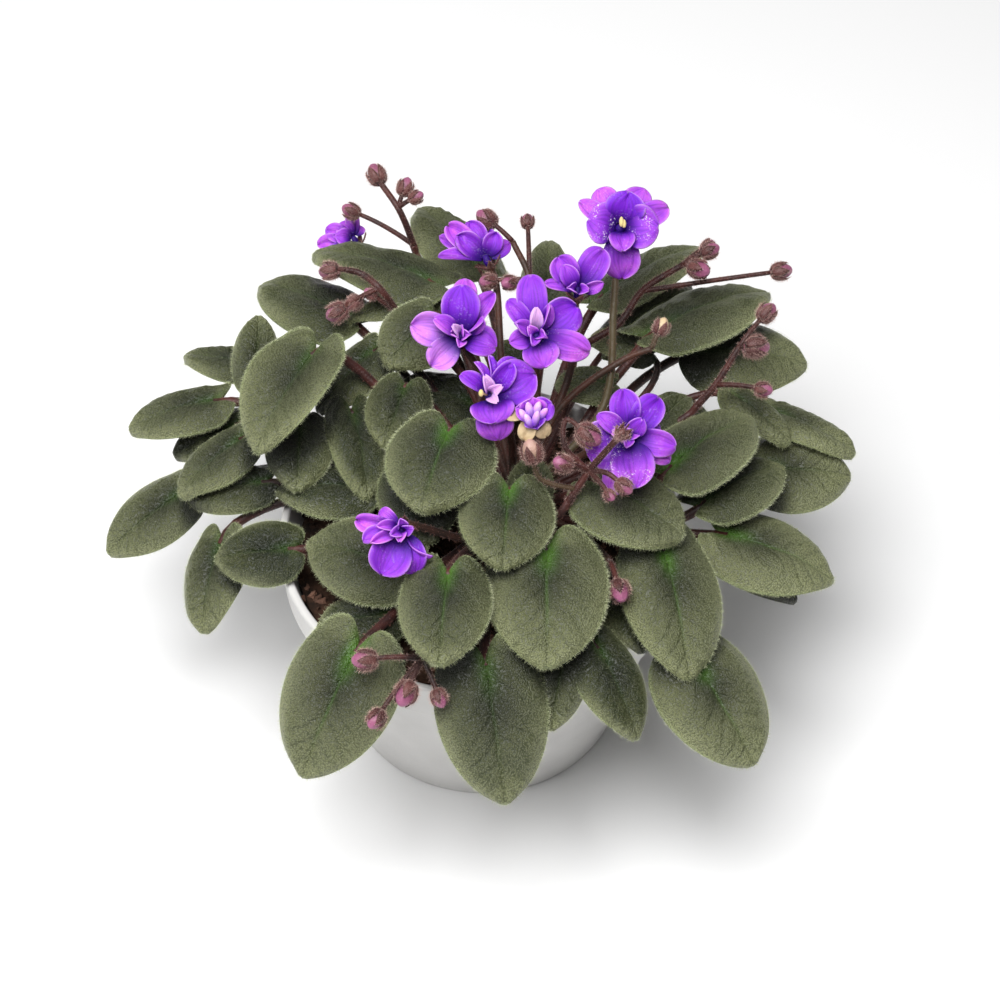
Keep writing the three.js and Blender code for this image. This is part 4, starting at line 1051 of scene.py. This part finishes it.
def add_bud(form, at, direction, size, look):
    """A closed bud of folded petals in a calyx of five hairy sepals, or a calyx that is left alone."""
    turn = frame_to(direction, 3 * size)
    axis = turn[:, 2]
    if look == SPENT:
        foot = vec(at) - axis * 0.4 * size
        lathe(form, BUD_OUTLINE * [0.62, 0.7] * size, 16, SEPAL, turn, foot + axis * 0.2 * size, furry=1.5)
        add_sepals(form, foot, direction, 0.7 * size, 0.34 * size, 24, 3.0, 0.4)
        tube(form, np.linspace(foot, foot + axis * 0.95 * size, 5), 0.22, 6, SEPAL, furry=0)
        return
    lathe(form, BUD_OUTLINE * size, 25, BUD, turn, at, lobes=0.06, furry=0.45, tone=look)
    t = np.linspace(0, 1, 8)[:, None]
    height = -0.49 + 0.84 * t
    radius = np.interp(height, BUD_OUTLINE[:, 1], BUD_OUTLINE[:, 0]) + 0.045 + 0.05 * t**2
    span = 0.68 * (1 - t**3) * (1 - 0.2 * t)
    for k in range(5):
        angle = 2 * np.pi * k / 5 + span * np.linspace(1, -1, 5)[None, :]
        grid = np.stack([radius * np.cos(angle), radius * np.sin(angle), height * np.ones_like(angle)],
                        axis=-1) * size
        blade(form, grid @ turn.T + vec(at), 0.3, SEPAL, axis, grain=0.4 * axis, furry=2.6, reach=t)


def add_bud_on_stalk(form, start, bud):
    """A bud at the end of its own thin stalk, which arches up or runs through given points."""
    point, at, size, look, *through = bud
    start, at = vec(start), vec(at)
    if through:
        direction = unit(at - vec(through[-1]))
        path = smooth_path([start, *map(vec, through), at], PATH_STEPS - 1)
    else:
        direction = unit(at - start)
        bend = (start + at) / 2 + UP * 0.12 * np.linalg.norm(at - start)
        t = np.linspace(0, 1, 10)[:, None]
        path = (1 - t) ** 2 * start + 2 * t * (1 - t) * bend + t * t * at
    path = path[:-1]
    tube(form, path, np.linspace(0.85, 0.7, len(path)) * PEDICEL_RADIUS, 8, tone=0.5 if look > 0 else 0.0)
    add_bud(form, at, direction, size, look)


# Flowers

PETAL_COLUMNS = (-1, -0.93, -0.8, -0.6, -0.38, -0.18, 0, 0.18, 0.38, 0.6, 0.8, 0.93, 1.0)
# Petals narrower than this are curled
CURLED_BELOW = 3.2
# Petals with the most painted glints of highlight, by flower and petal, and how much the others have
SPARKLING = {(0, 1): 0.9, (0, 2): 0.9, (6, 4): 1.0, (6, 5): 0.6, (3, 2): 0.4, (2, 0): 0.3}
SPARKLE = 0.12
# Flowers with small curled petals round the throat, and how many
CURLED = {2: 4, 3: 3, 6: 3, 7: 3, 9: 2}


def petal_grid(length, width, hollow, recurve, ruffle, phase, blunt):
    """A broad rounded petal on a narrow foot, hollowed across, arched along, its end turned back."""
    t = np.linspace(0, 1, 17)
    s = np.array(PETAL_COLUMNS)[None, :]
    half = width / 2 * (1.06 if width >= BROAD_FROM else 1)
    outline = ((0, 0.25), (0.08, 0.6), (0.28, 1), (0.6, 1), (0.88, 1), (1, blunt), (1, 0))
    edge = half_outline(outline, (length, half), t)
    v = np.abs(s)
    x = length * t[:, None] ** 1.1 * (1 - v**1.6) + edge[:, :1] * v**1.6
    y = edge[:, 1:] * s
    along = x / length
    z = hollow * (y / half) ** 2 * width + 0.1 * length * np.sin(np.pi * np.clip(along, 0, 1))
    z = z - recurve * length * smoothstep(0.6, 1, along) ** 2
    z = z + ruffle * length * np.sin(3.5 * s + phase) * along**2 * (0.3 + v)
    z = z + 0.5 * ruffle * length * np.sin(7 * s + 5 * along + 2 * phase) * along * v
    z = z - 0.35 * hump(y, 0.6) * along
    z = z + 0.12 * np.sin(11 * along + 4 * s + 3 * phase) * along * (1 - v)
    rim = np.maximum(smoothstep(0.9, 1, v), smoothstep(0.95, 1, t)[:, None]) * smoothstep(0.3, 0.6, along)
    return np.stack([x, y, z], axis=-1), along, rim


def add_petal(form, at, petal, rng, sparkle=SPARKLE, finish=PETAL):
    """One petal, its foot in the middle of the flower and its face to the viewer."""
    right, up, towards, width, roll, pink = petal
    tip = seen(right, up, towards)
    along = unit(tip)
    across = turned(unit(np.cross(VIEW_TOWARDS, along)), along, roll + rng.uniform(-7, 7))
    curled = width < CURLED_BELOW
    hollow = rng.uniform(0.3, 0.4) if curled else rng.uniform(0.1, 0.18)
    recurve = 0.0 if curled else rng.uniform(0.0, 0.1)
    grid, reach, rim = petal_grid(np.linalg.norm(tip) - PETAL_FOOT, width, hollow, recurve,
                                  rng.uniform(0.06, 0.12), rng.uniform(0, 6.28), rng.uniform(0.3, 0.66))
    grid = vec(at) + PETAL_FOOT * along + grid @ np.stack([along, across, np.cross(along, across)])
    blade(form, grid, 0.34, finish, along, reach=reach, rim=rim, tone=pink, sparkle=sparkle)


def back_petals(petals, rng):
    """Shorter petals behind the gaps between the front ones."""
    spread = sorted((math.atan2(up, right), math.hypot(right, up)) for right, up, *rest in petals
                    if math.hypot(right, up) > 6)
    made = []
    for (angle, reach), (other, other_reach) in zip(spread, spread[1:] + spread[:1]):
        gap = (other - angle) % (2 * math.pi)
        if math.radians(34) < gap < math.radians(105):
            middle = angle + gap / 2 + rng.uniform(-0.1, 0.1)
            run = 0.74 * min(reach, other_reach)
            made.append((run * math.cos(middle), run * math.sin(middle), rng.uniform(-2, -1), 0.75 * run, 0,
                         rng.uniform(0.1, 0.4)))
    return made


def add_flower(form, flower, number):
    """A double flower: petals round a core that holds their feet. The half-open one keeps its inner
    petals closed, in cream sepals."""
    at, faces, radius, stalk, petals = flower
    rng = np.random.default_rng(FLOWER_SEED + number)
    for k, petal in enumerate(petals + back_petals(petals, rng)):
        add_petal(form, at, petal, rng, SPARKLING.get((number, k), SPARKLE))
    for k in range(CURLED.get(number, 0)):
        turn = 2 * math.pi * (k + rng.uniform(-0.2, 0.2)) / CURLED[number]
        add_petal(form, at, (2.6 * math.cos(turn), 2.6 * math.sin(turn), rng.uniform(3.6, 5.2), 3.0,
                             rng.uniform(-30, 30), rng.uniform(0.35, 0.9)), rng)
    core = np.array([(0, -0.5), (0.8, -0.5), (1, -0.1), (0.8, 0.4), (0, 0.5)])
    lathe(form, core * [0.11 * radius, CORE_HEIGHT * radius], 12, PETAL, frame_to(faces), at, top=0.1)
    if number == HALF_OPEN:
        for right, up, towards, lean, size in FOLDED_PETALS:
            lathe(form, BUD_OUTLINE * [0.62 * size, size], 16, FOLDED, frame_to(seen(lean, 0.8, 0.5)),
                  vec(at) + seen(right, up, towards))
        for sepal in CREAM_SEPALS:
            add_petal(form, at, sepal, rng, finish=CREAM_SEPAL)
    for owner, place, width, length in ANTHERS:
        if owner == number:
            spot = vec(at) + seen(*place)
            tube(form, np.linspace(vec(at) + 0.3 * (spot - vec(at)), spot, 4), 0.3, 6, ANTHER, furry=0)
            lathe(form, BUD_OUTLINE * [width * 1.4, length], 12, ANTHER, frame_to(VIEW_UP), spot)


# Settings that a user would change

class PotSettings(bpy.types.PropertyGroup):
    sides: IntProperty(name="Sides", description="Faces round the pot", default=144, min=24, max=400)
    colour: FloatVectorProperty(name="Colour", description="Colour of the plastic", subtype="COLOR",
                                default=(0.66, 0.65, 0.635))
    worn: FloatVectorProperty(name="Worn colour", description="Colour of its duller patches", subtype="COLOR",
                              default=(0.56, 0.55, 0.535))


class SoilSettings(bpy.types.PropertyGroup):
    crumb_size: FloatProperty(name="Crumb size", description="Radius of a middling crumb", default=0.0012,
                              unit="LENGTH", precision=5)
    crumb_density: FloatProperty(name="Crumb density", description="Crumbs on a square metre", default=100000)
    dark: FloatVectorProperty(name="Dark colour", description="Damp soil", subtype="COLOR",
                              default=(0.012, 0.008, 0.006))
    light: FloatVectorProperty(name="Light colour", description="Drier soil", subtype="COLOR",
                               default=(0.06, 0.03, 0.018))
    bark: FloatVectorProperty(name="Bark colour", description="Bits of bark and dry peat", subtype="COLOR",
                              default=(0.32, 0.17, 0.12))


class LeafSettings(bpy.types.PropertyGroup):
    hair_length: FloatProperty(name="Hair length", description="Length of a leaf hair", default=0.00055,
                               unit="LENGTH", precision=5)
    hair_width: FloatProperty(name="Hair width", description="Width of a hair at its foot", default=0.00004,
                              unit="LENGTH", precision=6)
    hair_density: FloatProperty(name="Hair density", description="Hairs on a square metre", default=0.8e6)
    fringe: FloatProperty(name="Fringe", description="How much denser the hairs of the margin are",
                          default=16.0)
    vein_depth: FloatProperty(name="Vein depth", description="How far veins are sunk", default=0.00055,
                              unit="LENGTH", precision=5)
    valley_depth: FloatProperty(name="Valley depth", description="How far the blade sinks along its midrib",
                                default=0.0009, unit="LENGTH", precision=5)
    curl: FloatProperty(name="Margin curl", description="How far the margin turns down", default=0.0014,
                        unit="LENGTH", precision=5)
    # Also the painted shade in sunken veins and in the skin's pits
    dark: FloatVectorProperty(name="Dark green", description="Shaded velvet", subtype="COLOR",
                              default=(0.018, 0.025, 0.007))
    # Painted shade: the colour blades darken to below other leaves and around their notch
    painted_shade: FloatVectorProperty(name="Deep green", description="Leaves below other leaves", subtype="COLOR",
                              default=(0.004, 0.006, 0.002))
    middle: FloatVectorProperty(name="Middle green", description="Main colour", subtype="COLOR",
                                default=(0.041, 0.048, 0.012))
    # On pale leaves this is their own colour; on margins and grain tops it is painted sheen and highlight
    pale: FloatVectorProperty(name="Pale sage", description="Pale leaves and margins", subtype="COLOR",
                              default=(0.285, 0.303, 0.15))
    flare: FloatVectorProperty(name="Bright green", description="Flare at the stalk end", subtype="COLOR",
                               default=(0.09, 0.26, 0.012))
    rim: FloatVectorProperty(name="Edge green", description="Thin light edge", subtype="COLOR",
                             default=(0.27, 0.33, 0.13))
    under: FloatVectorProperty(name="Underside", description="Back of the leaf", subtype="COLOR",
                               default=(0.09, 0.085, 0.05))
    hair: FloatVectorProperty(name="Hair colour", description="Leaf hairs", subtype="COLOR",
                              default=(0.38, 0.42, 0.22))
    fringe_hair: FloatVectorProperty(name="Fringe colour", description="Hairs of the margin", subtype="COLOR",
                                     default=(0.62, 0.66, 0.4))


class StalkSettings(bpy.types.PropertyGroup):
    hair_length: FloatProperty(name="Hair length", description="Length of a stalk hair", default=0.0008,
                               unit="LENGTH", precision=5)
    hair_width: FloatProperty(name="Hair width", description="Width of a hair at its foot", default=0.00006,
                              unit="LENGTH", precision=6)
    hair_density: FloatProperty(name="Hair density", description="Hairs on a square metre", default=1.3e6)
    dark: FloatVectorProperty(name="Dark red", description="Shaded stalk", subtype="COLOR",
                              default=(0.03, 0.009, 0.008))
    light: FloatVectorProperty(name="Brown red", description="Lit stalk", subtype="COLOR",
                               default=(0.08, 0.019, 0.014))
    green: FloatVectorProperty(name="Olive", description="Olive stalk", subtype="COLOR",
                               default=(0.085, 0.07, 0.03))
    hair: FloatVectorProperty(name="Hair colour", description="Stalk hairs", subtype="COLOR",
                              default=(0.42, 0.21, 0.17))
    bud_hair: FloatVectorProperty(name="Bud hair colour", description="Paler hairs on the buds",
                                  subtype="COLOR", default=(0.62, 0.4, 0.35))


class FlowerSettings(bpy.types.PropertyGroup):
    # Partly the petals' own colour at the foot, partly painted shade in the throat
    base: FloatVectorProperty(name="Deep violet", description="Foot of the petals", subtype="COLOR",
                              default=(0.02, 0.003, 0.14))
    middle: FloatVectorProperty(name="Violet", description="Main colour", subtype="COLOR",
                                default=(0.18, 0.012, 0.62))
    # Partly the petals' own pink, partly painted highlight on petals that face the light
    outer: FloatVectorProperty(name="Pink lilac", description="Pink outer halves", subtype="COLOR",
                               default=(0.78, 0.17, 0.88))
    rim: FloatVectorProperty(name="Rim", description="Thin pale rim", subtype="COLOR",
                             default=(0.78, 0.42, 0.92))
    petaloid: FloatVectorProperty(name="Pale pink", description="The palest small petals", subtype="COLOR",
                                  default=(0.82, 0.5, 0.86))
    # Painted highlight as glints on the open petals; the folded petals' own palest colour
    glint: FloatVectorProperty(name="Glint", description="Glistening grains and palest folds",
                               subtype="COLOR", default=(0.9, 0.78, 0.95))
    anther: FloatVectorProperty(name="Anthers", description="Pollen sacs", subtype="COLOR",
                                default=(0.75, 0.6, 0.25))


class BudSettings(bpy.types.PropertyGroup):
    dark: FloatVectorProperty(name="Dark", description="Folds of the bud", subtype="COLOR",
                              default=(0.1, 0.02, 0.035))
    light: FloatVectorProperty(name="Light", description="Swollen parts", subtype="COLOR",
                               default=(0.23, 0.053, 0.1))
    tip: FloatVectorProperty(name="Tip", description="Petal tips that show", subtype="COLOR",
                             default=(0.4, 0.125, 0.25))
    cream: FloatVectorProperty(name="Cream", description="Pale bud", subtype="COLOR",
                               default=(0.72, 0.56, 0.32))
    sepal_dark: FloatVectorProperty(name="Sepal, dark", description="Shaded sepals", subtype="COLOR",
                                    default=(0.055, 0.016, 0.016))
    sepal_light: FloatVectorProperty(name="Sepal, light", description="Lit sepals", subtype="COLOR",
                                     default=(0.15, 0.055, 0.05))


class StageSettings(bpy.types.PropertyGroup):
    key_power: FloatProperty(name="Key light", description="Power of the large light overhead", default=12.6,
                             unit="POWER")
    side_power: FloatProperty(name="Side light", description="Power of the light at the left", default=1.6,
                              unit="POWER")
    sky: FloatProperty(name="Sky", description="Brightness of the surroundings", default=0.15)
    camera_distance: FloatProperty(name="Camera distance", description="From the aim point", default=0.7,
                                   unit="LENGTH")
    lens: FloatProperty(name="Lens", description="Focal length in millimetres", default=97.9)


# Operators

class VIOLET_OT_stage(bpy.types.Operator):
    """Set the pale floor, the soft lights and the camera"""
    bl_idname = "violet.stage"
    bl_label = "Stage"

    def execute(self, context):
        s = context.scene.violet_stage
        scene = context.scene
        mesh = bpy.data.meshes.new("floor")
        corners = [(-1, -1), (1, -1), (1, 1), (-1, 1)]
        mesh.from_pydata([(x * FLOOR_REACH, y * FLOOR_REACH, 0) for x, y in corners], [], [(0, 1, 2, 3)])
        mesh.materials.append(Finish("Pale floor").done((0.93, 0.93, 0.93), roughness=0.9,
                                                        specular_ior_level=0.1))
        floor = added("floor", mesh)

        world = bpy.data.worlds.new("Soft surroundings")
        world.use_nodes = True
        world.node_tree.nodes["Background"].inputs["Color"].default_value = (1, 1, 1, 1)
        world.node_tree.nodes["Background"].inputs["Strength"].default_value = s.sky
        scene.world = world
        for name, place, size, power in (("key", KEY_PLACE, KEY_SIZE, s.key_power),
                                         ("side", SIDE_PLACE, SIDE_SIZE, s.side_power)):
            lamp = bpy.data.lights.new(name, "AREA")
            lamp.shape, lamp.size, lamp.energy = "DISK", size, power
            light = added(name, lamp)
            light.location = place
            light.rotation_mode = "QUATERNION"
            light.rotation_quaternion = (LIT_POINT - Vector(place)).to_track_quat("-Z", "Y")

        camera = added("camera", bpy.data.cameras.new("camera"))
        camera.data.lens = s.lens
        camera.data.sensor_width = SENSOR_WIDTH
        camera.data.sensor_fit = "HORIZONTAL"
        camera.data.clip_start = 0.01
        up, towards = Vector(VIEW_UP), Vector(VIEW_TOWARDS)
        camera.location = VIEWED_POINT + towards * s.camera_distance
        camera.rotation_mode = "QUATERNION"
        camera.rotation_quaternion = Matrix((Vector((1, 0, 0)), up, towards)).transposed().to_quaternion()
        scene.camera = camera
        scene.view_settings.view_transform = "Standard"
        return {"FINISHED"}


class VIOLET_OT_pot(bpy.types.Operator):
    """Turn the pot with its collar, rounded lip and drain holes"""
    bl_idname = "violet.pot"
    bl_label = "Pot"

    def execute(self, context):
        s = context.scene.violet_pot
        # Each stretch of the profile: where it is measured from, then its points from there
        stretches = [
            (0, 0, [(0, 0)]),
            (BASE_RADIUS, 0, [(-3.2, 0), (-2.8, 0), (-1, 0), (-0.35, 0.2), (0, 0.9)]),
            (BODY_TOP_RADIUS, COLLAR_FOOT, [(-0.05, -0.3), (0.2, 0)]),
            (RIM_RADIUS, COLLAR_FOOT, [(-1.6, 0.1), (-1.1, 0.5), (-0.95, 1.1)]),
            (RIM_RADIUS, POT_HEIGHT, [(-0.1, -1.3), (-0.15, -0.6), (-0.45, -0.15), (-0.9, 0)]),
            (RIM_RADIUS - WALL, POT_HEIGHT, [(0.1, 0), (-0.35, -0.25), (-0.6, -0.9)]),
            (BODY_TOP_RADIUS - WALL, COLLAR_FOOT, [(0.1, 0.5), (0, -0.5)]),
            (BASE_RADIUS - WALL, FLOOR, [(0.2, 0.6), (-0.8, 0)]),
            (0, FLOOR, [(0, 0)]),
        ]
        profile = [(radius + dr, height + dz) for radius, height, points in stretches for dr, dz in points]
        form = Form()
        lathe(form, profile, s.sides)
        shell = added("pot_shell", form.mesh("pot_shell", [pot_material(s)]))
        drills = Form()
        for turn in 2 * math.pi * np.arange(DRAIN_HOLES) / DRAIN_HOLES:
            lathe(drills, [(0, -4), (DRAIN_RADIUS, -4), (DRAIN_RADIUS, 4 + FLOOR), (0, 4 + FLOOR)], 32,
                  at=(DRAIN_CIRCLE * math.cos(turn), DRAIN_CIRCLE * math.sin(turn), 0))
        drill = added("drill", drills.mesh("drill", []))
        cut = shell.modifiers.new("holes", "BOOLEAN")
        cut.operation, cut.object, cut.solver = "DIFFERENCE", drill, "EXACT"
        shell.modifiers.new("corners", "WEIGHTED_NORMAL").keep_sharp = True
        mesh = bpy.data.meshes.new_from_object(shell.evaluated_get(context.evaluated_depsgraph_get()))
        mesh.name = "pot_moulded"
        for spare in (shell, drill):
            bpy.data.objects.remove(spare)
        show("pot_moulded", mesh, "pot", "pot")
        return {"FINISHED"}


class VIOLET_OT_soil(bpy.types.Operator):
    """Fill the pot with a lumpy plug of soil and strew crumbs over it"""
    bl_idname = "violet.soil"
    bl_label = "Soil"

    def execute(self, context):
        s = context.scene.violet_soil
        material = soil_material(s)
        body_wall = BODY_TOP_RADIUS - WALL - 2 * GAP
        collar_share = (SOIL_EDGE_HEIGHT - 2 - COLLAR_FOOT) / (POT_HEIGHT - 1.5 - COLLAR_FOOT)
        wall = body_wall + collar_share * (RIM_RADIUS - BODY_TOP_RADIUS - 0.8)
        foot_radius = BASE_RADIUS - WALL + 0.2 - 2 * GAP
        rng = np.random.default_rng(SOIL_SEED)
        profile = [(0, FLOOR + GAP), (foot_radius, FLOOR + GAP), (body_wall, COLLAR_FOOT),
                   (wall, SOIL_EDGE_HEIGHT - 2)]
        for share in np.arange(37) / 36:
            height = SOIL_EDGE_HEIGHT + SOIL_DOME * math.sin(math.pi / 2 * share)
            profile.append((wall * (1 - share) * 0.995, height))
        form = Form()
        lathe(form, profile, 120)
        places = form.points[0]
        top = places[:, 2] > SOIL_EDGE_HEIGHT - 1
        # Each wave of the soil's top: height, then frequency and phase along both sides
        waves = rng.uniform((0.15, 0.1, 0.1, 0, 0), (0.5, 0.9, 0.9, 6, 6), (7, 5))
        lumps = sum(a * np.sin(places[:, 0] * fx + px) * np.sin(places[:, 1] * fy + py)
                    for a, fx, fy, px, py in waves)
        rough = rng.uniform(-0.25, 0.25, len(places))
        places[:, 2] += np.where(top, 0.45 * lumps + rough - 0.3, 0)
        form.values["furry"][0] = top.astype(float)
        mesh = grown(form.mesh("soil_crumbs", [material]), crumb_tree(), Density=s.crumb_density,
                     Size=s.crumb_size, Seed=CRUMB_SEED, Soil=material)
        show("soil_crumbs", mesh, "soil", "soil")
        return {"FINISHED"}


class VIOLET_OT_stalks(bpy.types.Operator):
    """Grow the crown, the stalks, the small leaves and the single buds"""
    bl_idname = "violet.stalks"
    bl_label = "Stalks"

    def execute(self, context):
        s = context.scene.violet_stalk
        leaf = context.scene.violet_leaf
        bud = context.scene.violet_bud
        materials = [stalk_material(s), sepal_material(bud)]
        form = Form()
        rings = 14
        swell = 1 + 0.07 * np.sin(np.arange(rings) * 2.1)
        tube(form, np.linspace(CROWN_FOOT, CROWN_TIP, rings),
             np.linspace(CROWN_RADIUS * 0.92, CROWN_RADIUS * 0.55, rings) * swell, 16, furry=0.5)
        for k, entry in enumerate(LEAVES):
            path = petiole_path(entry, 0) if k == FOLDED_LEAF else petiole_path(entry)
            tube(form, path, np.linspace(1.15, 1.3, len(path)), 10)
        for entry in SMALL_LEAVES:
            path = petiole_path(entry, fused=True)
            tube(form, path, np.linspace(1.1, 0.9, len(path)), 8)
        for k, (at, faces, radius, through, petals) in enumerate(FLOWERS):
            facing = unit(vec(faces))
            back = vec(at) - facing * CORE_HEIGHT * radius / 2
            path = smooth_path([crown_point(72, through[0]), *map(vec, through),
                                back - facing * STALK_CLEARANCE, back - facing * 0.1])
            radii = np.linspace(0.95, 0.72, len(path)) * PEDUNCLE_RADIUS
            radii[-5:] = np.linspace(0.72 * PEDUNCLE_RADIUS, 1.7, 5)
            tube(form, path, radii, 10, tone=0.8 if k == 0 else 0.15)
            add_sepals(form, back - facing * 0.9, facing, 4.6, 2.0, 50, 1.6)
        for down, upper, buds in SPRAYS:
            first = vec(upper[0])
            onward = unit(vec(upper[1]) - first)
            path = smooth_path([crown_point(70, down[0]), *map(vec, down), first - onward * STALK_CLEARANCE,
                                first])
            tube(form, path, PEDUNCLE_RADIUS * 0.9, 9)
        for through, buds in STEM_SPRAYS:
            path = smooth_path([crown_point(70, through[0]), *map(vec, through)])
            tube(form, path, np.linspace(0.9, 0.7, len(path)) * PEDUNCLE_RADIUS, 9, tone=0.2)
        fur = fur_material("Stalk hair", s.hair, s.hair)
        show_furred(form, "stalks", materials, s, STALK_FUR_SEED, fur, "stems", "stems")

        form = Form()
        for k, entry in enumerate(SMALL_LEAVES):
            add_leaf(form, entry, leaf, SMALL_LEAF_SEED + k, 18)
        fur = fur_material("Leaf hair", leaf.hair, leaf.fringe_hair)
        show_furred(form, "small_leaves", [leaf_material(leaf)], leaf, SMALL_FUR_SEED, fur, "stems", "stems")

        form = Form()
        for through, buds in STEM_SPRAYS:
            for row in buds:
                add_bud_on_stalk(form, through[row[0]], row)
        show_furred(form, "single_buds", [*materials, bud_material(bud)], s, BUD_FUR_SEED,
                    bud_fur_material(s), "stems", "stems", BUD_FUR)
        return {"FINISHED"}


class VIOLET_OT_leaves(bpy.types.Operator):
    """Grow the furred leaf blades"""
    bl_idname = "violet.leaves"
    bl_label = "Leaves"

    def execute(self, context):
        s = context.scene.violet_leaf
        skin, fur = leaf_material(s), fur_material("Leaf hair", s.hair, s.fringe_hair)
        for k, entry in enumerate(LEAVES):
            node = f"leaf_{k + 1:02d}"
            form = Form()
            add_leaf(form, entry, s, LEAF_SEED + k, 30, FOLDED_CUP if k == FOLDED_LEAF else LEAF_CUP,
                     BRIGHT_FLARE if k in FLARED else FAINT_FLARE)
            show_furred(form, f"{node}_furred", [skin], s, k, fur, "leaf", node)
        return {"FINISHED"}


class VIOLET_OT_flowers(bpy.types.Operator):
    """Build the double flowers petal by petal"""
    bl_idname = "violet.flowers"
    bl_label = "Flowers"

    def execute(self, context):
        s = context.scene.violet_flower
        materials = [petal_material(s), anther_material(s), folded_petal_material(s),
                     sepal_material(context.scene.violet_bud)]
        for k, flower in enumerate(FLOWERS):
            node = f"flower_{k + 1:02d}"
            form = Form()
            add_flower(form, flower, k)
            show(f"{node}_bloom", form.mesh(f"{node}_bloom", materials), "flower", node)
        return {"FINISHED"}


class VIOLET_OT_buds(bpy.types.Operator):
    """Build the sprays of hairy buds"""
    bl_idname = "violet.buds"
    bl_label = "Bud sprays"

    def execute(self, context):
        s = context.scene.violet_stalk
        bud = context.scene.violet_bud
        materials = [stalk_material(s), sepal_material(bud), bud_material(bud)]
        fur = bud_fur_material(s)
        for k, (down, upper, buds) in enumerate(SPRAYS):
            node = f"buds_{k + 1:02d}"
            form = Form()
            path = smooth_path(upper)
            tube(form, path, np.linspace(0.85, 0.7, len(path)) * PEDUNCLE_RADIUS, 9)
            for row in buds:
                add_bud_on_stalk(form, upper[row[0]], row)
            show_furred(form, f"{node}_spray", materials, s, SPRAY_SEED + k, fur, "bud", node, BUD_FUR)
        return {"FINISHED"}


# The panel, and what Blender is told about

SETTINGS = [
    ("violet_stage", StageSettings, VIOLET_OT_stage),
    ("violet_pot", PotSettings, VIOLET_OT_pot),
    ("violet_soil", SoilSettings, VIOLET_OT_soil),
    ("violet_stalk", StalkSettings, VIOLET_OT_stalks),
    ("violet_leaf", LeafSettings, VIOLET_OT_leaves),
    ("violet_flower", FlowerSettings, VIOLET_OT_flowers),
    ("violet_bud", BudSettings, VIOLET_OT_buds),
]


class VIOLET_PT_panel(bpy.types.Panel):
    bl_label = "Potted violet"
    bl_space_type = "VIEW_3D"
    bl_region_type = "UI"
    bl_category = "Violet"

    def draw(self, context):
        for name, group, operator in SETTINGS:
            box = self.layout.box()
            for key in group.__annotations__:
                box.prop(getattr(context.scene, name), key)
            box.operator(operator.bl_idname)


def register():
    for name, group, operator in SETTINGS:
        bpy.utils.register_class(group)
        setattr(bpy.types.Scene, name, PointerProperty(type=group))
        bpy.utils.register_class(operator)
    bpy.utils.register_class(VIOLET_PT_panel)


def unregister():
    bpy.utils.unregister_class(VIOLET_PT_panel)
    for name, group, operator in reversed(SETTINGS):
        bpy.utils.unregister_class(operator)
        delattr(bpy.types.Scene, name)
        bpy.utils.unregister_class(group)


def main():
    register()
    bpy.ops.violet.stage()
    bpy.ops.violet.pot()
    bpy.ops.violet.soil()
    bpy.ops.violet.stalks()
    bpy.ops.violet.leaves()
    bpy.ops.violet.flowers()
    bpy.ops.violet.buds()


if __name__ == "__main__":
    main()
